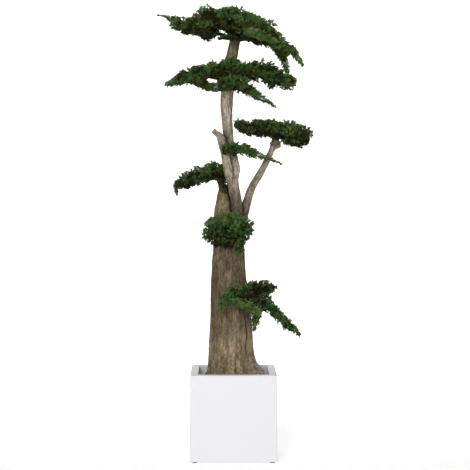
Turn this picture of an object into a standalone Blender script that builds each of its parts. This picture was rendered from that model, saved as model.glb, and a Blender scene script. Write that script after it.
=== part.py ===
"""A preserved juniper, cloud-pruned, in a white cube planter.

Metres, +Z up. The origin is the middle of the planter's footprint, on the floor.
+X is to the right and +Y away from the side that shows best.
"""

import math
import random
from itertools import combinations

import bmesh
import bpy
from mathutils import Vector, noise
from mathutils.bvhtree import BVHTree

# The planter: a moulded cube with a turned-in rim, on four glides
POT_SIDE = 0.400
POT_HEIGHT = 0.400
POT_WALL = 0.009
POT_FLOOR = 0.012
RIM_WIDTH = 0.036
RIM_THICKNESS = 0.010
SKIRT_DEPTH = 0.060
CORNER_RADIUS = 0.004
GLIDE_HEIGHT = 0.006
GLIDE_RADIUS = 0.011
GLIDE_INSET = 0.020

# Clearance between two solids that rest on or meet each other
GAP = 0.0003

POT_BASE = GLIDE_HEIGHT + GAP
RIM = POT_BASE + POT_HEIGHT

# The soil fills the planter and rises to a flat mound under the tree
GROUND = RIM - 0.0123
SOIL_AT_WALL = RIM - 0.045
MOUND_RADIUS = 0.134
MOUND_CENTRE = 0.004

# Foliage: a mass has a solid core inside its outline, and sprays reach from it to the outline
CORE_INSET = 0.013
CORE_SHARE = 0.34
LUMPS = 0.28
LUMP_SIZE = 0.060
SPRAY_SUNK = 0.014
SPRAY_LEAN = 0.050
SPRAY_WIDTH = 0.38
SPRAY_THICKNESS = 0.17
RAGGED = 0.009
SPRAY_CLEARANCE = 0.003
LIMB_CLEARANCE = 0.004
SPACING = 0.014

ACROSS = Vector((0, 1, 0))
SKEW = Vector((0.21, 0.34, 0.92)).normalized()


# Limbs. Each row is a point on the centreline and the radius there: (x, y, z, radius)
BOLE = [
    (-0.004, 0.000, GROUND, 0.118),
    (-0.009, 0.000, GROUND + 0.08, 0.107),
    (-0.011, 0.000, 0.640, 0.097),
    (-0.022, 0.002, 0.850, 0.081),
    (-0.022, 0.004, 0.980, 0.073),
    (-0.029, 0.006, 1.070, 0.064),
    (-0.041, 0.008, 1.150, 0.051),
    (-0.046, 0.008, 1.210, 0.037),
    (-0.044, 0.008, 1.285, 0.020),
]
LEADER = [
    (-0.004, -0.002, 0.950, 0.040),
    (0.010, -0.016, 1.100, 0.033),
    (0.013, -0.020, 1.195, 0.028),
    (0.000, -0.018, 1.280, 0.027),
    (0.006, -0.004, 1.320, 0.021),
    (0.013, 0.006, 1.358, 0.019),
    (0.004, 0.010, 1.405, 0.019),
    (-0.012, 0.008, 1.462, 0.019),
    (-0.025, 0.000, 1.525, 0.025),
    (-0.031, 0.000, 1.610, 0.027),
    (-0.031, 0.000, 1.690, 0.031),
    (-0.019, 0.000, 1.810, 0.029),
    (-0.003, 0.000, 1.905, 0.027),
    (0.010, 0.000, 1.975, 0.025),
]
SIDE_STRAND = [
    (0.000, -0.020, 1.262, 0.022),
    (-0.016, -0.029, 1.310, 0.021),
    (-0.027, -0.031, 1.358, 0.022),
    (-0.039, -0.027, 1.415, 0.020),
    (-0.051, -0.016, 1.478, 0.022),
    (-0.062, -0.009, 1.509, 0.018),
    (-0.082, -0.006, 1.525, 0.0140),
    (-0.096, -0.006, 1.537, 0.0130),
]
RIGHT_BOUGH = [
    (0.000, 0.016, 1.040, 0.026),
    (0.044, 0.018, 1.130, 0.0240),
    (0.062, 0.015, 1.195, 0.0215),
    (0.086, 0.011, 1.267, 0.0190),
    (0.130, 0.010, 1.340, 0.0170),
    (0.166, 0.009, 1.412, 0.0155),
    (0.184, 0.006, 1.450, 0.0155),
    (0.196, 0.005, 1.473, 0.0215),
    (0.206, 0.002, 1.493, 0.0250),
]
LEFT_BOUGH = [
    (-0.052, 0.008, 1.250, 0.020),
    (-0.066, 0.018, 1.290, 0.017),
    (-0.090, 0.030, 1.322, 0.013),
]

LIMBS = [BOLE, LEADER, SIDE_STRAND, RIGHT_BOUGH, LEFT_BOUGH]

# Root flare, as shares of the radius, and how high it reaches. One root spreads more to the right.
ROOTS = 5
ROOT_SPREAD = 0.05
ROOT_RISE = 0.060
RIGHT_ROOT = 0.24
RIGHT_RISE = 0.042
FLUTES = 7
FLUTE_DEPTH = 0.035

# Masses of foliage. Each frond is a flattened body along a line, and its rows hold a point
# on the line, the half width across it and the half thickness: (x, y, z, width, thickness)
CROWN_TOP = [
    (-0.165, 0.000, 2.038, 0.120, 0.044),
    (-0.101, 0.000, 2.061, 0.190, 0.063),
    (-0.026, 0.000, 2.054, 0.220, 0.074),
    (0.055, 0.000, 2.025, 0.210, 0.082),
    (0.116, 0.000, 2.006, 0.170, 0.073),
]
CROWN_LEFT = [
    (-0.100, 0.025, 2.033, 0.165, 0.068),
    (-0.150, 0.030, 2.031, 0.150, 0.065),
    (-0.206, 0.050, 2.031, 0.120, 0.046),
    (-0.255, 0.068, 2.036, 0.085, 0.037),
    (-0.280, 0.085, 2.055, 0.040, 0.020),
    (-0.316, 0.100, 2.082, 0.018, 0.010),
    (-0.361, 0.120, 2.093, 0.008, 0.006),
]
CROWN_RIGHT = [
    (0.078, -0.010, 2.010, 0.180, 0.075),
    (0.144, -0.030, 1.990, 0.160, 0.071),
    (0.204, -0.050, 1.946, 0.120, 0.056),
    (0.249, -0.060, 1.911, 0.065, 0.029),
    (0.291, -0.070, 1.866, 0.028, 0.016),
    (0.323, -0.080, 1.832, 0.010, 0.006),
]
CROWN_TAIL = [
    (0.190, 0.050, 1.960, 0.050, 0.030),
    (0.222, 0.072, 1.905, 0.032, 0.021),
    (0.245, 0.088, 1.848, 0.012, 0.008),
]
TIER_LEFT = [
    (-0.020, 0.000, 1.806, 0.110, 0.062),
    (-0.101, 0.014, 1.797, 0.156, 0.074),
    (-0.177, 0.020, 1.797, 0.140, 0.048),
    (-0.244, 0.030, 1.786, 0.090, 0.034),
    (-0.286, 0.030, 1.766, 0.050, 0.020),
    (-0.319, 0.030, 1.752, 0.012, 0.009),
]
TIER_RIGHT = [
    (0.000, 0.020, 1.834, 0.120, 0.050),
    (0.098, 0.040, 1.819, 0.150, 0.045),
    (0.140, 0.040, 1.811, 0.150, 0.042),
    (0.190, 0.040, 1.784, 0.140, 0.061),
    (0.246, 0.020, 1.773, 0.100, 0.052),
    (0.284, 0.010, 1.778, 0.040, 0.020),
]
TIER_FRONT = [
    (-0.102, -0.060, 1.748, 0.036, 0.025),
    (-0.060, -0.070, 1.750, 0.054, 0.033),
    (0.002, -0.100, 1.740, 0.068, 0.038),
    (0.062, -0.120, 1.718, 0.058, 0.035),
    (0.118, -0.130, 1.687, 0.040, 0.026),
    (0.159, -0.140, 1.664, 0.020, 0.013),
    (0.193, -0.150, 1.638, 0.007, 0.006),
]
RIGHT_PAD = [
    (0.022, -0.010, 1.567, 0.032, 0.028),
    (0.046, -0.010, 1.552, 0.060, 0.038),
    (0.080, -0.010, 1.541, 0.085, 0.039),
    (0.149, 0.000, 1.547, 0.120, 0.049),
    (0.229, 0.000, 1.535, 0.140, 0.058),
    (0.299, -0.005, 1.514, 0.120, 0.063),
    (0.331, -0.028, 1.516, 0.080, 0.046),
    (0.347, -0.048, 1.522, 0.022, 0.014),
]
MIDDLE_SPRAY = [
    (-0.045, -0.062, 1.447, 0.024, 0.023),
    (-0.002, -0.070, 1.449, 0.040, 0.036),
    (0.046, -0.074, 1.447, 0.044, 0.034),
    (0.080, -0.078, 1.430, 0.034, 0.022),
    (0.116, -0.080, 1.418, 0.028, 0.018),
    (0.166, -0.080, 1.404, 0.018, 0.011),
    (0.223, -0.080, 1.379, 0.007, 0.006),
]
LEFT_PAD = [
    (-0.052, 0.055, 1.337, 0.060, 0.044),
    (-0.101, 0.042, 1.340, 0.090, 0.051),
    (-0.168, 0.030, 1.322, 0.090, 0.050),
    (-0.224, 0.020, 1.301, 0.070, 0.037),
    (-0.267, 0.020, 1.276, 0.028, 0.019),
    (-0.268, 0.020, 1.238, 0.008, 0.007),
]
LEFT_DROP = [
    (-0.058, 0.056, 1.320, 0.026, 0.028),
    (-0.042, 0.062, 1.284, 0.026, 0.030),
    (-0.034, 0.064, 1.252, 0.016, 0.018),
]
COLLAR = [
    (-0.106, -0.085, 1.050, 0.034, 0.036),
    (-0.080, -0.108, 1.073, 0.052, 0.066),
    (-0.026, -0.124, 1.074, 0.060, 0.085),
    (0.030, -0.110, 1.080, 0.055, 0.072),
    (0.062, -0.090, 1.088, 0.038, 0.046),
]
COLLAR_DROP = [
    (0.002, -0.130, 1.044, 0.030, 0.037),
    (0.020, -0.135, 1.007, 0.035, 0.035),
    (0.025, -0.130, 0.976, 0.020, 0.016),
]
LOW_TOP = [
    (0.058, -0.045, 0.799, 0.045, 0.034),
    (0.100, -0.050, 0.797, 0.066, 0.041),
    (0.143, -0.052, 0.801, 0.058, 0.041),
    (0.178, -0.052, 0.796, 0.026, 0.030),
]
LOW_FRONT = [
    (0.077, -0.085, 0.770, 0.040, 0.040),
    (0.011, -0.128, 0.787, 0.042, 0.037),
    (-0.040, -0.140, 0.752, 0.034, 0.030),
    (-0.053, -0.140, 0.704, 0.018, 0.016),
]
LOW_TAIL = [
    (0.090, -0.060, 0.785, 0.050, 0.037),
    (0.150, -0.068, 0.730, 0.048, 0.046),
    (0.202, -0.080, 0.679, 0.040, 0.032),
    (0.252, -0.090, 0.630, 0.030, 0.031),
    (0.288, -0.100, 0.605, 0.020, 0.018),
    (0.306, -0.100, 0.582, 0.009, 0.008),
]
LOW_TUFT = [
    (0.116, -0.070, 0.772, 0.034, 0.034),
    (0.103, -0.086, 0.735, 0.038, 0.037),
    (0.104, -0.094, 0.682, 0.032, 0.034),
    (0.104, -0.094, 0.645, 0.025, 0.025),
    (0.096, -0.094, 0.607, 0.013, 0.011),
]

# Each mass: its fronds, the stem that carries it, how many sprays stand out of its core, and
# the masses whose space it leaves free. A stem starts inside its limb and is cut clear of it.
MASSES = {
    "crown_top": {
        "fronds": [CROWN_TOP],
        "stem": [(0.010, 0.000, 1.960, 0.014), (0.006, 0.000, 2.040, 0.010)],
        "sprays": 84,
        "beside": [],
    },
    "crown_left": {
        "fronds": [CROWN_LEFT],
        "stem": [
            (0.005, 0.000, 1.957, 0.010),
            (-0.060, 0.010, 1.990, 0.009),
            (-0.150, 0.030, 2.008, 0.008),
            (-0.210, 0.048, 2.035, 0.006),
        ],
        "sprays": 54,
        "beside": ["crown_top"],
    },
    "crown_right": {
        "fronds": [CROWN_RIGHT, CROWN_TAIL],
        "stem": [
            (0.008, 0.000, 1.955, 0.010),
            (0.080, -0.010, 1.972, 0.009),
            (0.185, -0.036, 1.962, 0.007),
        ],
        "sprays": 70,
        "beside": ["crown_top"],
    },
    "tier_front": {
        "fronds": [TIER_FRONT],
        "stem": [(-0.028, -0.010, 1.730, 0.010), (0.000, -0.090, 1.738, 0.007)],
        "sprays": 32,
        "beside": [],
    },
    "tier_right": {
        "fronds": [TIER_RIGHT],
        "stem": [(-0.020, 0.000, 1.790, 0.011), (0.110, 0.030, 1.815, 0.008)],
        "sprays": 56,
        "beside": ["tier_front"],
    },
    "tier_left": {
        "fronds": [TIER_LEFT],
        "stem": [(-0.025, 0.000, 1.775, 0.011), (-0.140, 0.015, 1.795, 0.008)],
        "sprays": 56,
        "beside": ["tier_front", "tier_right"],
    },
    "right_pad": {
        "fronds": [RIGHT_PAD],
        "stem": [(0.202, 0.002, 1.490, 0.013), (0.212, 0.000, 1.535, 0.009)],
        "sprays": 68,
        "beside": [],
    },
    "middle_spray": {
        "fronds": [MIDDLE_SPRAY],
        "stem": [(-0.042, -0.020, 1.440, 0.009), (-0.010, -0.068, 1.448, 0.006)],
        "sprays": 28,
        "beside": [],
    },
    "left_pad": {
        "fronds": [LEFT_PAD, LEFT_DROP],
        "stem": [(-0.084, 0.028, 1.318, 0.010), (-0.130, 0.034, 1.336, 0.008)],
        "sprays": 44,
        "beside": [],
    },
    "collar_tuft": {
        "fronds": [COLLAR, COLLAR_DROP],
        "stem": [(-0.026, -0.030, 1.060, 0.011), (-0.026, -0.120, 1.076, 0.008)],
        "sprays": 46,
        "beside": [],
    },
    "low_spray": {
        "fronds": [LOW_TOP, LOW_FRONT, LOW_TAIL, LOW_TUFT],
        "stem": [(0.020, -0.020, 0.760, 0.013), (0.100, -0.058, 0.790, 0.009)],
        "sprays": 62,
        "beside": [],
    },
}

CORE_SIDES = 10
CORE_RING_SPACING = 0.032
LIMB_SIDES = 12
BOLE_SIDES = 24
GOLDEN_ANGLE = math.pi * (3 - math.sqrt(5))


def clear_scene():
    for obj in list(bpy.data.objects):
        bpy.data.objects.remove(obj)


def material(name, rgb, roughness):
    made = bpy.data.materials.new(name)
    made.use_nodes = True
    shader = made.node_tree.nodes["Principled BSDF"]
    shader.inputs["Base Color"].default_value = (*rgb, 1)
    shader.inputs["Roughness"].default_value = roughness
    return made


def place(name, bm, finish=None, smooth_angle=None):
    """A new object from a bmesh, shaded smooth up to an angle between faces."""
    bmesh.ops.recalc_face_normals(bm, faces=bm.faces)
    mesh = bpy.data.meshes.new(name)
    bm.to_mesh(mesh)
    bm.free()
    obj = bpy.data.objects.new(name, mesh)
    bpy.context.scene.collection.objects.link(obj)
    if finish:
        mesh.materials.append(finish)
    if smooth_angle:
        mesh.shade_smooth()
        mesh.set_sharp_from_angle(angle=smooth_angle)
    return obj


def along(rows, share):
    """Every column of the rows, smoothly interpolated at a share of the way from first to last."""
    place_in = min(max(share, 0.0), 1.0) * (len(rows) - 1)
    i = min(int(place_in), len(rows) - 2)
    f = place_in - i
    before, start, end, after = (rows[min(max(i + k, 0), len(rows) - 1)] for k in (-1, 0, 1, 2))
    return [
        b + 0.5 * f * (c - a + f * (2 * a - 5 * b + 4 * c - d + f * (3 * (b - c) + d - a)))
        for a, b, c, d in zip(before, start, end, after)
    ]


def frame_at(rows, share):
    """Point, tangent, side and rise of a line of rows, and the rows' remaining columns there."""
    step = 0.02
    values = along(rows, share)
    ahead = Vector(along(rows, share + step)[:3])
    behind = Vector(along(rows, share - step)[:3])
    tangent = (ahead - behind).normalized()
    side = (ACROSS - tangent * ACROSS.dot(tangent)).normalized()
    return Vector(values[:3]), tangent, side, tangent.cross(side), values[3:]


def length_of(rows):
    return sum((Vector(a[:3]) - Vector(b[:3])).length for a, b in zip(rows, rows[1:]))


def sweep(name, rings, end_points=None):
    """A closed solid through rings of points. Its ends are flat, or rise to the two end points."""
    bm = bmesh.new()
    loops = [[bm.verts.new(p) for p in ring] for ring in rings]
    sides = len(rings[0])
    for low, high in zip(loops, loops[1:]):
        for k in range(sides):
            bm.faces.new((low[k], low[(k + 1) % sides], high[(k + 1) % sides], high[k]))
    if end_points:
        for loop, point in ((loops[0], end_points[0]), (loops[-1], end_points[1])):
            tip = bm.verts.new(point)
            for k in range(sides):
                bm.faces.new((loop[k], loop[(k + 1) % sides], tip))
    else:
        bm.faces.new(loops[0])
        bm.faces.new(loops[-1])
    return place(name, bm)


def limb(name, rows, spacing=0.042, sides=LIMB_SIDES, grow=0.0, swell=None):
    """A tapering limb. grow makes it larger all over.

    swell(angle, height) shapes it, and then its rings are level and angle 0 is +X.
    """
    count = max(3, round(length_of(rows) / spacing))
    rings = []
    for i in range(count + 1):
        point, tangent, side, rise, (radius,) = frame_at(rows, i / count)
        point += tangent * grow * ((i == count) - (i == 0))
        if swell:
            side, rise = Vector((1, 0, 0)), ACROSS
        ring = []
        for k in range(sides):
            angle = 2 * math.pi * k / sides
            reach = radius * (swell(angle, point.z) if swell else 1.0) + grow
            ring.append(point + (side * math.cos(angle) + rise * math.sin(angle)) * reach)
        rings.append(ring)
    return sweep(name, rings)


def bole_swell(angle, height):
    """Flutes all the way up, and roots that spread just above the ground."""
    above = (height - GROUND) / ROOT_RISE
    flare = math.exp(-above * above)
    flutes = FLUTE_DEPTH * math.cos(FLUTES * angle + 2.2 * math.sin(2.5 * height))
    roots = ROOT_SPREAD * flare * math.cos(ROOTS * angle + 0.9)
    low = math.exp(-(((height - GROUND) / RIGHT_RISE) ** 2))
    right = RIGHT_ROOT * low * max(0.0, math.cos(angle)) ** 6
    return 1.0 + flutes + roots + right


def bole(name, grow=0.0):
    """The bole, whose foot stays one flat cut at ground level."""
    made = limb(name, BOLE, spacing=0.045, sides=BOLE_SIDES, grow=grow, swell=bole_swell)
    for vertex in made.data.vertices[:BOLE_SIDES]:
        vertex.co.z = GROUND - grow
    return made


def evaluated(obj):
    """Puts what an object's modifiers make in place of its mesh."""
    graph = bpy.context.evaluated_depsgraph_get()
    mesh = bpy.data.meshes.new_from_object(obj.evaluated_get(graph))
    obj.modifiers.clear()
    obj.data = mesh
    return obj


def combine(obj, others, operation):
    """One Boolean on a collection of the others, which are then removed."""
    if not others:
        return obj
    group = bpy.data.collections.new("operands")
    bpy.context.scene.collection.children.link(group)
    for other in others:
        bpy.context.scene.collection.objects.unlink(other)
        group.objects.link(other)
    modifier = obj.modifiers.new("combine", "BOOLEAN")
    modifier.operation = operation
    modifier.operand_type = "COLLECTION"
    modifier.collection = group
    modifier.solver = "MANIFOLD"
    evaluated(obj)
    for other in others:
        bpy.data.objects.remove(other)
    bpy.data.collections.remove(group)
    return obj


def keep_largest(obj):
    """Drops the loose scraps that a cut leaves."""
    bm = bmesh.new()
    bm.from_mesh(obj.data)
    left, largest = set(bm.verts), []
    while left:
        island, edge_of_island = [], [left.pop()]
        while edge_of_island:
            vertex = edge_of_island.pop()
            island.append(vertex)
            for edge in vertex.link_edges:
                other = edge.other_vert(vertex)
                if other in left:
                    left.remove(other)
                    edge_of_island.append(other)
        if len(island) > len(largest):
            largest = island
    kept = set(largest)
    bmesh.ops.delete(bm, geom=[v for v in bm.verts if v not in kept], context="VERTS")
    bm.to_mesh(obj.data)
    bm.free()
    return obj


def square_to_round(name, rows, sides, centre_x=0.0):
    """A solid through level rings of (half width, height, squareness), flat at both ends.

    Squareness is 1 for a square ring and 0 for a round one. A round ring is centred on centre_x.
    """
    rings = []
    for half, height, squareness in rows:
        ring = []
        for k in range(sides):
            angle = 2 * math.pi * (k + 0.5) / sides
            c, s = math.cos(angle), math.sin(angle)
            reach = half * (1 + squareness * (1 / max(abs(c), abs(s)) - 1))
            ring.append(Vector((centre_x * (1 - squareness) + c * reach, s * reach, height)))
        rings.append(ring)
    return sweep(name, rings)


def planter(finish):
    half = POT_SIDE / 2
    mouth = half - RIM_WIDTH
    skirt = mouth + POT_WALL
    inside = half - POT_WALL
    profile = [
        (half, POT_BASE),
        (half, RIM),
        (mouth, RIM),
        (mouth, RIM - SKIRT_DEPTH),
        (skirt, RIM - SKIRT_DEPTH),
        (skirt, RIM - RIM_THICKNESS),
        (inside, RIM - RIM_THICKNESS),
        (inside, POT_BASE + POT_FLOOR),
    ]
    pot = square_to_round("planter", [(h, z, 1.0) for h, z in profile], 4)
    bm = bmesh.new()
    bm.from_mesh(pot.data)
    near = 1e-5
    outer = [
        e
        for e in bm.edges
        if all(abs(abs(v.co.x) - half) < near and abs(abs(v.co.y) - half) < near for v in e.verts)
    ]
    bmesh.ops.bevel(bm, geom=outer, offset=CORNER_RADIUS, segments=3, profile=0.5, affect="EDGES")
    bm.to_mesh(pot.data)
    bm.free()
    pot.data.materials.append(finish)
    pot.data.shade_smooth()
    pot.data.set_sharp_from_angle(angle=math.radians(35))
    return pot


def glides(finish):
    """Four small round glides near the planter's corners."""
    across = POT_SIDE / 2 - GLIDE_INSET
    places = {
        "glide_front_left": (-across, -across),
        "glide_front_right": (across, -across),
        "glide_back_left": (-across, across),
        "glide_back_right": (across, across),
    }
    for name, (x, y) in places.items():
        bm = bmesh.new()
        bmesh.ops.create_cone(
            bm,
            cap_ends=True,
            segments=20,
            radius1=GLIDE_RADIUS * 0.92,
            radius2=GLIDE_RADIUS,
            depth=GLIDE_HEIGHT,
        )
        glide = place(name, bm, finish, math.radians(40))
        glide.location = (x, y, GLIDE_HEIGHT / 2)


def soil(finish):
    """Fills the planter below its skirt and inside it, with a mound under the trunk."""
    inside = POT_SIDE / 2 - POT_WALL - GAP
    mouth = POT_SIDE / 2 - RIM_WIDTH - GAP
    below_skirt = RIM - SKIRT_DEPTH - GAP
    top = GROUND - GAP
    rows = [
        (inside, POT_BASE + POT_FLOOR + GAP, 1.0),
        (inside, below_skirt, 1.0),
        (mouth, below_skirt, 1.0),
        (mouth, SOIL_AT_WALL, 1.0),
        (MOUND_RADIUS + 0.010, (SOIL_AT_WALL + top) / 2 + 0.004, 0.30),
        (MOUND_RADIUS, top, 0.0),
    ]
    made = square_to_round("soil", rows, 36, MOUND_CENTRE)
    made.data.materials.append(finish)
    made.data.shade_smooth()
    made.data.set_sharp_from_angle(angle=math.radians(35))


def limb_cutters(grow):
    """All the limbs, grown by a clearance, for cutting what meets them."""
    return [
        bole("cutter", grow),
        limb("cutter", LEADER, grow=grow),
        limb("cutter", SIDE_STRAND, grow=grow),
        limb("cutter", RIGHT_BOUGH, grow=grow),
        limb("cutter", LEFT_BOUGH, grow=grow),
    ]


def trunk_and_boughs(finish):
    trunk = combine(bole("trunk"), [limb("leader", LEADER), limb("strand", SIDE_STRAND)], "UNION")
    boughs = [limb("right_bough", RIGHT_BOUGH), limb("left_bough", LEFT_BOUGH)]
    for bough in boughs:
        cutters = [limb("cutter", rows, grow=GAP) for rows in (LEADER, SIDE_STRAND)]
        keep_largest(combine(bough, [bole("cutter", GAP), *cutters], "DIFFERENCE"))
    for obj in [trunk, *boughs]:
        obj.data.materials.clear()
        obj.data.materials.append(finish)
        obj.data.shade_smooth()
        obj.data.set_sharp_from_angle(angle=math.radians(50))


def core_inset(thickness):
    return min(CORE_INSET, CORE_SHARE * thickness)


def frond_body(name, rows, grow=None):
    """A frond's lumpy core or, with a margin to grow its outline by, the space it fills."""
    count = max(4, round(length_of(rows) / CORE_RING_SPACING))
    rings = []
    ends = []
    for i in range(count + 1):
        point, tangent, side, rise, (width, thickness) = frame_at(rows, i / count)
        margin = -core_inset(thickness) if grow is None else grow
        width += margin
        thickness += margin
        ring = []
        for k in range(CORE_SIDES):
            angle = 2 * math.pi * k / CORE_SIDES
            out = side * math.cos(angle) * width + rise * math.sin(angle) * thickness
            hollow = 0.3 + noise.noise((point + out) / LUMP_SIZE) if grow is None else 0.0
            ring.append(point + out * (1 - LUMPS * min(max(hollow, -0.1), 1.0)))
        rings.append(ring)
        if i in (0, count):
            ends.append(point + tangent * (0.5 * thickness) * (1 if i else -1))
    return sweep(name, rings, ends)


def shell(rows, place, angle, inset):
    """The point inset from a frond's outline, at a place in metres along it or past its ends."""
    total = length_of(rows)
    past = place - min(max(place, 0.0), total)
    point, tangent, side, rise, (width, thickness) = frame_at(rows, place / total)
    narrow = 1 - min(abs(past) / SPRAY_LEAN, 1.0) * 0.6
    out = side * math.cos(angle) * (width - inset) + rise * math.sin(angle) * (thickness - inset)
    return point + tangent * past * 0.6 + out * narrow, rise * math.sin(angle) + side * math.cos(angle)


def inside(tree, point):
    """Whether a ray from a point crosses a closed surface an odd number of times."""
    crossings = 0
    hit = tree.ray_cast(point, SKEW)[0]
    while hit:
        crossings += 1
        hit = tree.ray_cast(hit + SKEW * 1e-5, SKEW)[0]
    return crossings % 2 == 1


def clear_of(tree, point, margin):
    return tree.find_nearest(point)[3] > margin and not inside(tree, point)


def tree_of(obj):
    corners = [vertex.co.copy() for vertex in obj.data.vertices]
    return BVHTree.FromPolygons(corners, [face.vertices[:] for face in obj.data.polygons])


def blade(root, tip, normal, widest):
    """The corners of a flat spray of juniper: root, tip, both sides and the ridge along its top."""
    reach = tip - root
    half = min(SPRAY_WIDTH * reach.length, widest)
    side = reach.cross(normal).normalized() * half
    over = side.cross(reach).normalized() * (half * SPRAY_THICKNESS / SPRAY_WIDTH)
    middle = root + 0.58 * reach
    return [root, tip, middle + side, middle - side, root + 0.50 * reach + over]


def spray(corners):
    """A spray as a closed blade, ridged on top and flat under it."""
    bm = bmesh.new()
    root, tip, left, right, ridge = (bm.verts.new(p) for p in corners)
    for a, b in ((root, left), (left, tip), (tip, right), (right, root)):
        bm.faces.new((a, b, ridge))
    bm.faces.new((left, root, right))
    bm.faces.new((right, tip, left))
    return place("spray", bm)


def sprays_of(mass, rng, limbs, neighbours):
    """Sprays from a mass's core to its outline, spread over its fronds by the golden angle.

    One that would come too near a limb, or enter a neighbour's space, is left out.
    """

    def clear(corners):
        steps = [a.lerp(b, f) for a, b in combinations(corners, 2) for f in (0.0, 0.3, 0.7, 1.0)]
        return all(clear_of(tree, point, SPRAY_CLEARANCE) for tree in limbs for point in steps) and all(
            clear_of(tree, point, 0) for tree in neighbours for point in steps
        )

    sizes = [length_of(rows) * sum(r[3] + r[4] for r in rows) / len(rows) for rows in mass["fronds"]]
    made = []
    for rows, size in zip(mass["fronds"], sizes):
        count = round(mass["sprays"] * size / sum(sizes))
        for i in range(count):
            place = (i + 0.5) / count * length_of(rows)
            width, thickness = along(rows, (i + 0.5) / count)[3:]
            inset = core_inset(thickness)
            angle = i * GOLDEN_ANGLE + rng.uniform(-0.3, 0.3)
            angle += 0.5 * math.sin(2 * angle) * (width - thickness) / (width + thickness)
            sunk = min(inset + SPRAY_SUNK, 0.85 * thickness)
            root, normal = shell(rows, place, angle, sunk)
            lean = (0.012 + inset + width / 10) * rng.uniform(0.6, 1.3)
            back = place < rng.uniform(0.0, 2 * SPRAY_LEAN)
            ragged = RAGGED * rng.uniform(-1.0, 0.3)
            ahead = place + (-lean if back else lean)
            tip, _ = shell(rows, ahead, angle + rng.uniform(-0.2, 0.2), ragged)
            corners = blade(root, tip, normal, 0.6 * thickness + 0.004)
            if clear(corners):
                made.append(spray(corners))
    return made


def foliage(name, mass, finish, seed):
    """One mass: its fronds' cores cut clear of limbs and neighbours, its stem and its sprays."""
    beside = [rows for other in mass["beside"] for rows in MASSES[other]["fronds"]]
    others = [other["stem"] for other in MASSES.values() if other is not mass]
    stems = [limb("cutter", rows, sides=6, grow=LIMB_CLEARANCE) for rows in others]
    limbs = limb_cutters(LIMB_CLEARANCE) + stems
    neighbours = [frond_body("cutter", rows, SPACING) for rows in beside]
    trees = [[tree_of(cutter) for cutter in cutters] for cutters in (limbs, neighbours)]
    sprays = sprays_of(mass, random.Random(seed), *trees)
    cores = [frond_body(name, rows) for rows in mass["fronds"]]
    core = combine(cores[0], cores[1:], "UNION")
    keep_largest(combine(core, limbs + neighbours, "DIFFERENCE"))
    combine(core, [limb("stem", mass["stem"], sides=6), *sprays], "UNION")
    keep_largest(combine(core, limb_cutters(GAP), "DIFFERENCE"))
    core.data.materials.clear()
    core.data.materials.append(finish)
    core.data.shade_smooth()
    core.data.set_sharp_from_angle(angle=math.radians(40))


def main():
    clear_scene()
    planter(material("white_gel_coat", (0.86, 0.86, 0.87), 0.28))
    glides(material("grey_glide", (0.20, 0.20, 0.21), 0.55))
    soil(material("dark_soil", (0.035, 0.028, 0.022), 0.95))
    trunk_and_boughs(material("juniper_bark", (0.26, 0.20, 0.15), 0.85))
    green = material("juniper_foliage", (0.030, 0.085, 0.022), 0.60)
    for seed, (name, mass) in enumerate(MASSES.items()):
        foliage(name, mass, green, seed)


main()
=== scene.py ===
"""A preserved juniper, cloud-pruned, in a white cube planter: the finish and the fine growth."""

import math

import bpy
import numpy as np
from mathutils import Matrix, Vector, noise


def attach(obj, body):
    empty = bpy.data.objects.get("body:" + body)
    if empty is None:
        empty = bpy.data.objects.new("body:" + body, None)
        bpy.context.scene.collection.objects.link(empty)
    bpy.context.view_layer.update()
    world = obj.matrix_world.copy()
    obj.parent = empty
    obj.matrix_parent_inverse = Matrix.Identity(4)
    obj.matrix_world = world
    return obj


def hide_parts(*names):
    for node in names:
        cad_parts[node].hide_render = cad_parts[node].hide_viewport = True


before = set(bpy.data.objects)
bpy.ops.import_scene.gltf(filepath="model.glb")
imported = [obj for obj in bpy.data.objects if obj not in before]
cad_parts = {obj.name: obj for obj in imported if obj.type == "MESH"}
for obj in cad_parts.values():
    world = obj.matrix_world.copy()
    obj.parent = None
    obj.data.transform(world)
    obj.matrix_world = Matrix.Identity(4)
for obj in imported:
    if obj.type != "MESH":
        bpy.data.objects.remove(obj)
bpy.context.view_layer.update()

TURN = 2 * math.pi
GOLDEN_ANGLE = math.pi * (3 - math.sqrt(5))
ACROSS = np.array((0.0, 1.0, 0.0))


def metres(*rows):
    """Rows of millimetres as an array in metres."""
    return np.array(rows) / 1000


def frond(painted_light, close, *rows):
    """A frond's rows in metres, how much painted light its greens take (0 is usual, and less is
    painted shade), and how far apart its lobes and sprigs stand, as a share of the usual spacing."""
    return metres(*rows), painted_light, close


# Planter and soil, in metres, as the solids have them
POT_SIDE = 0.400
POT_BASE = 0.0063
RIM = 0.4063
POT_WALL = 0.009
POT_FLOOR = 0.012
RIM_WIDTH = 0.036
RIM_THICKNESS = 0.010
SKIRT_DEPTH = 0.060
CORNER_RADIUS = 0.004
EDGE_EASE = 0.0025
GLIDE_OUT = 0.180
GLIDE_HEIGHT = 0.006
GLIDE_RADIUS = 0.011
GLIDE_EASE = 0.0012
GROUND = RIM - 0.0123
SOIL_AT_WALL = RIM - 0.045
SOIL_GAP = 0.0003
MOUND_TOP = GROUND - 0.004
MOUND_RADIUS = 0.134
MOUND_CENTRE = 0.004

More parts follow.
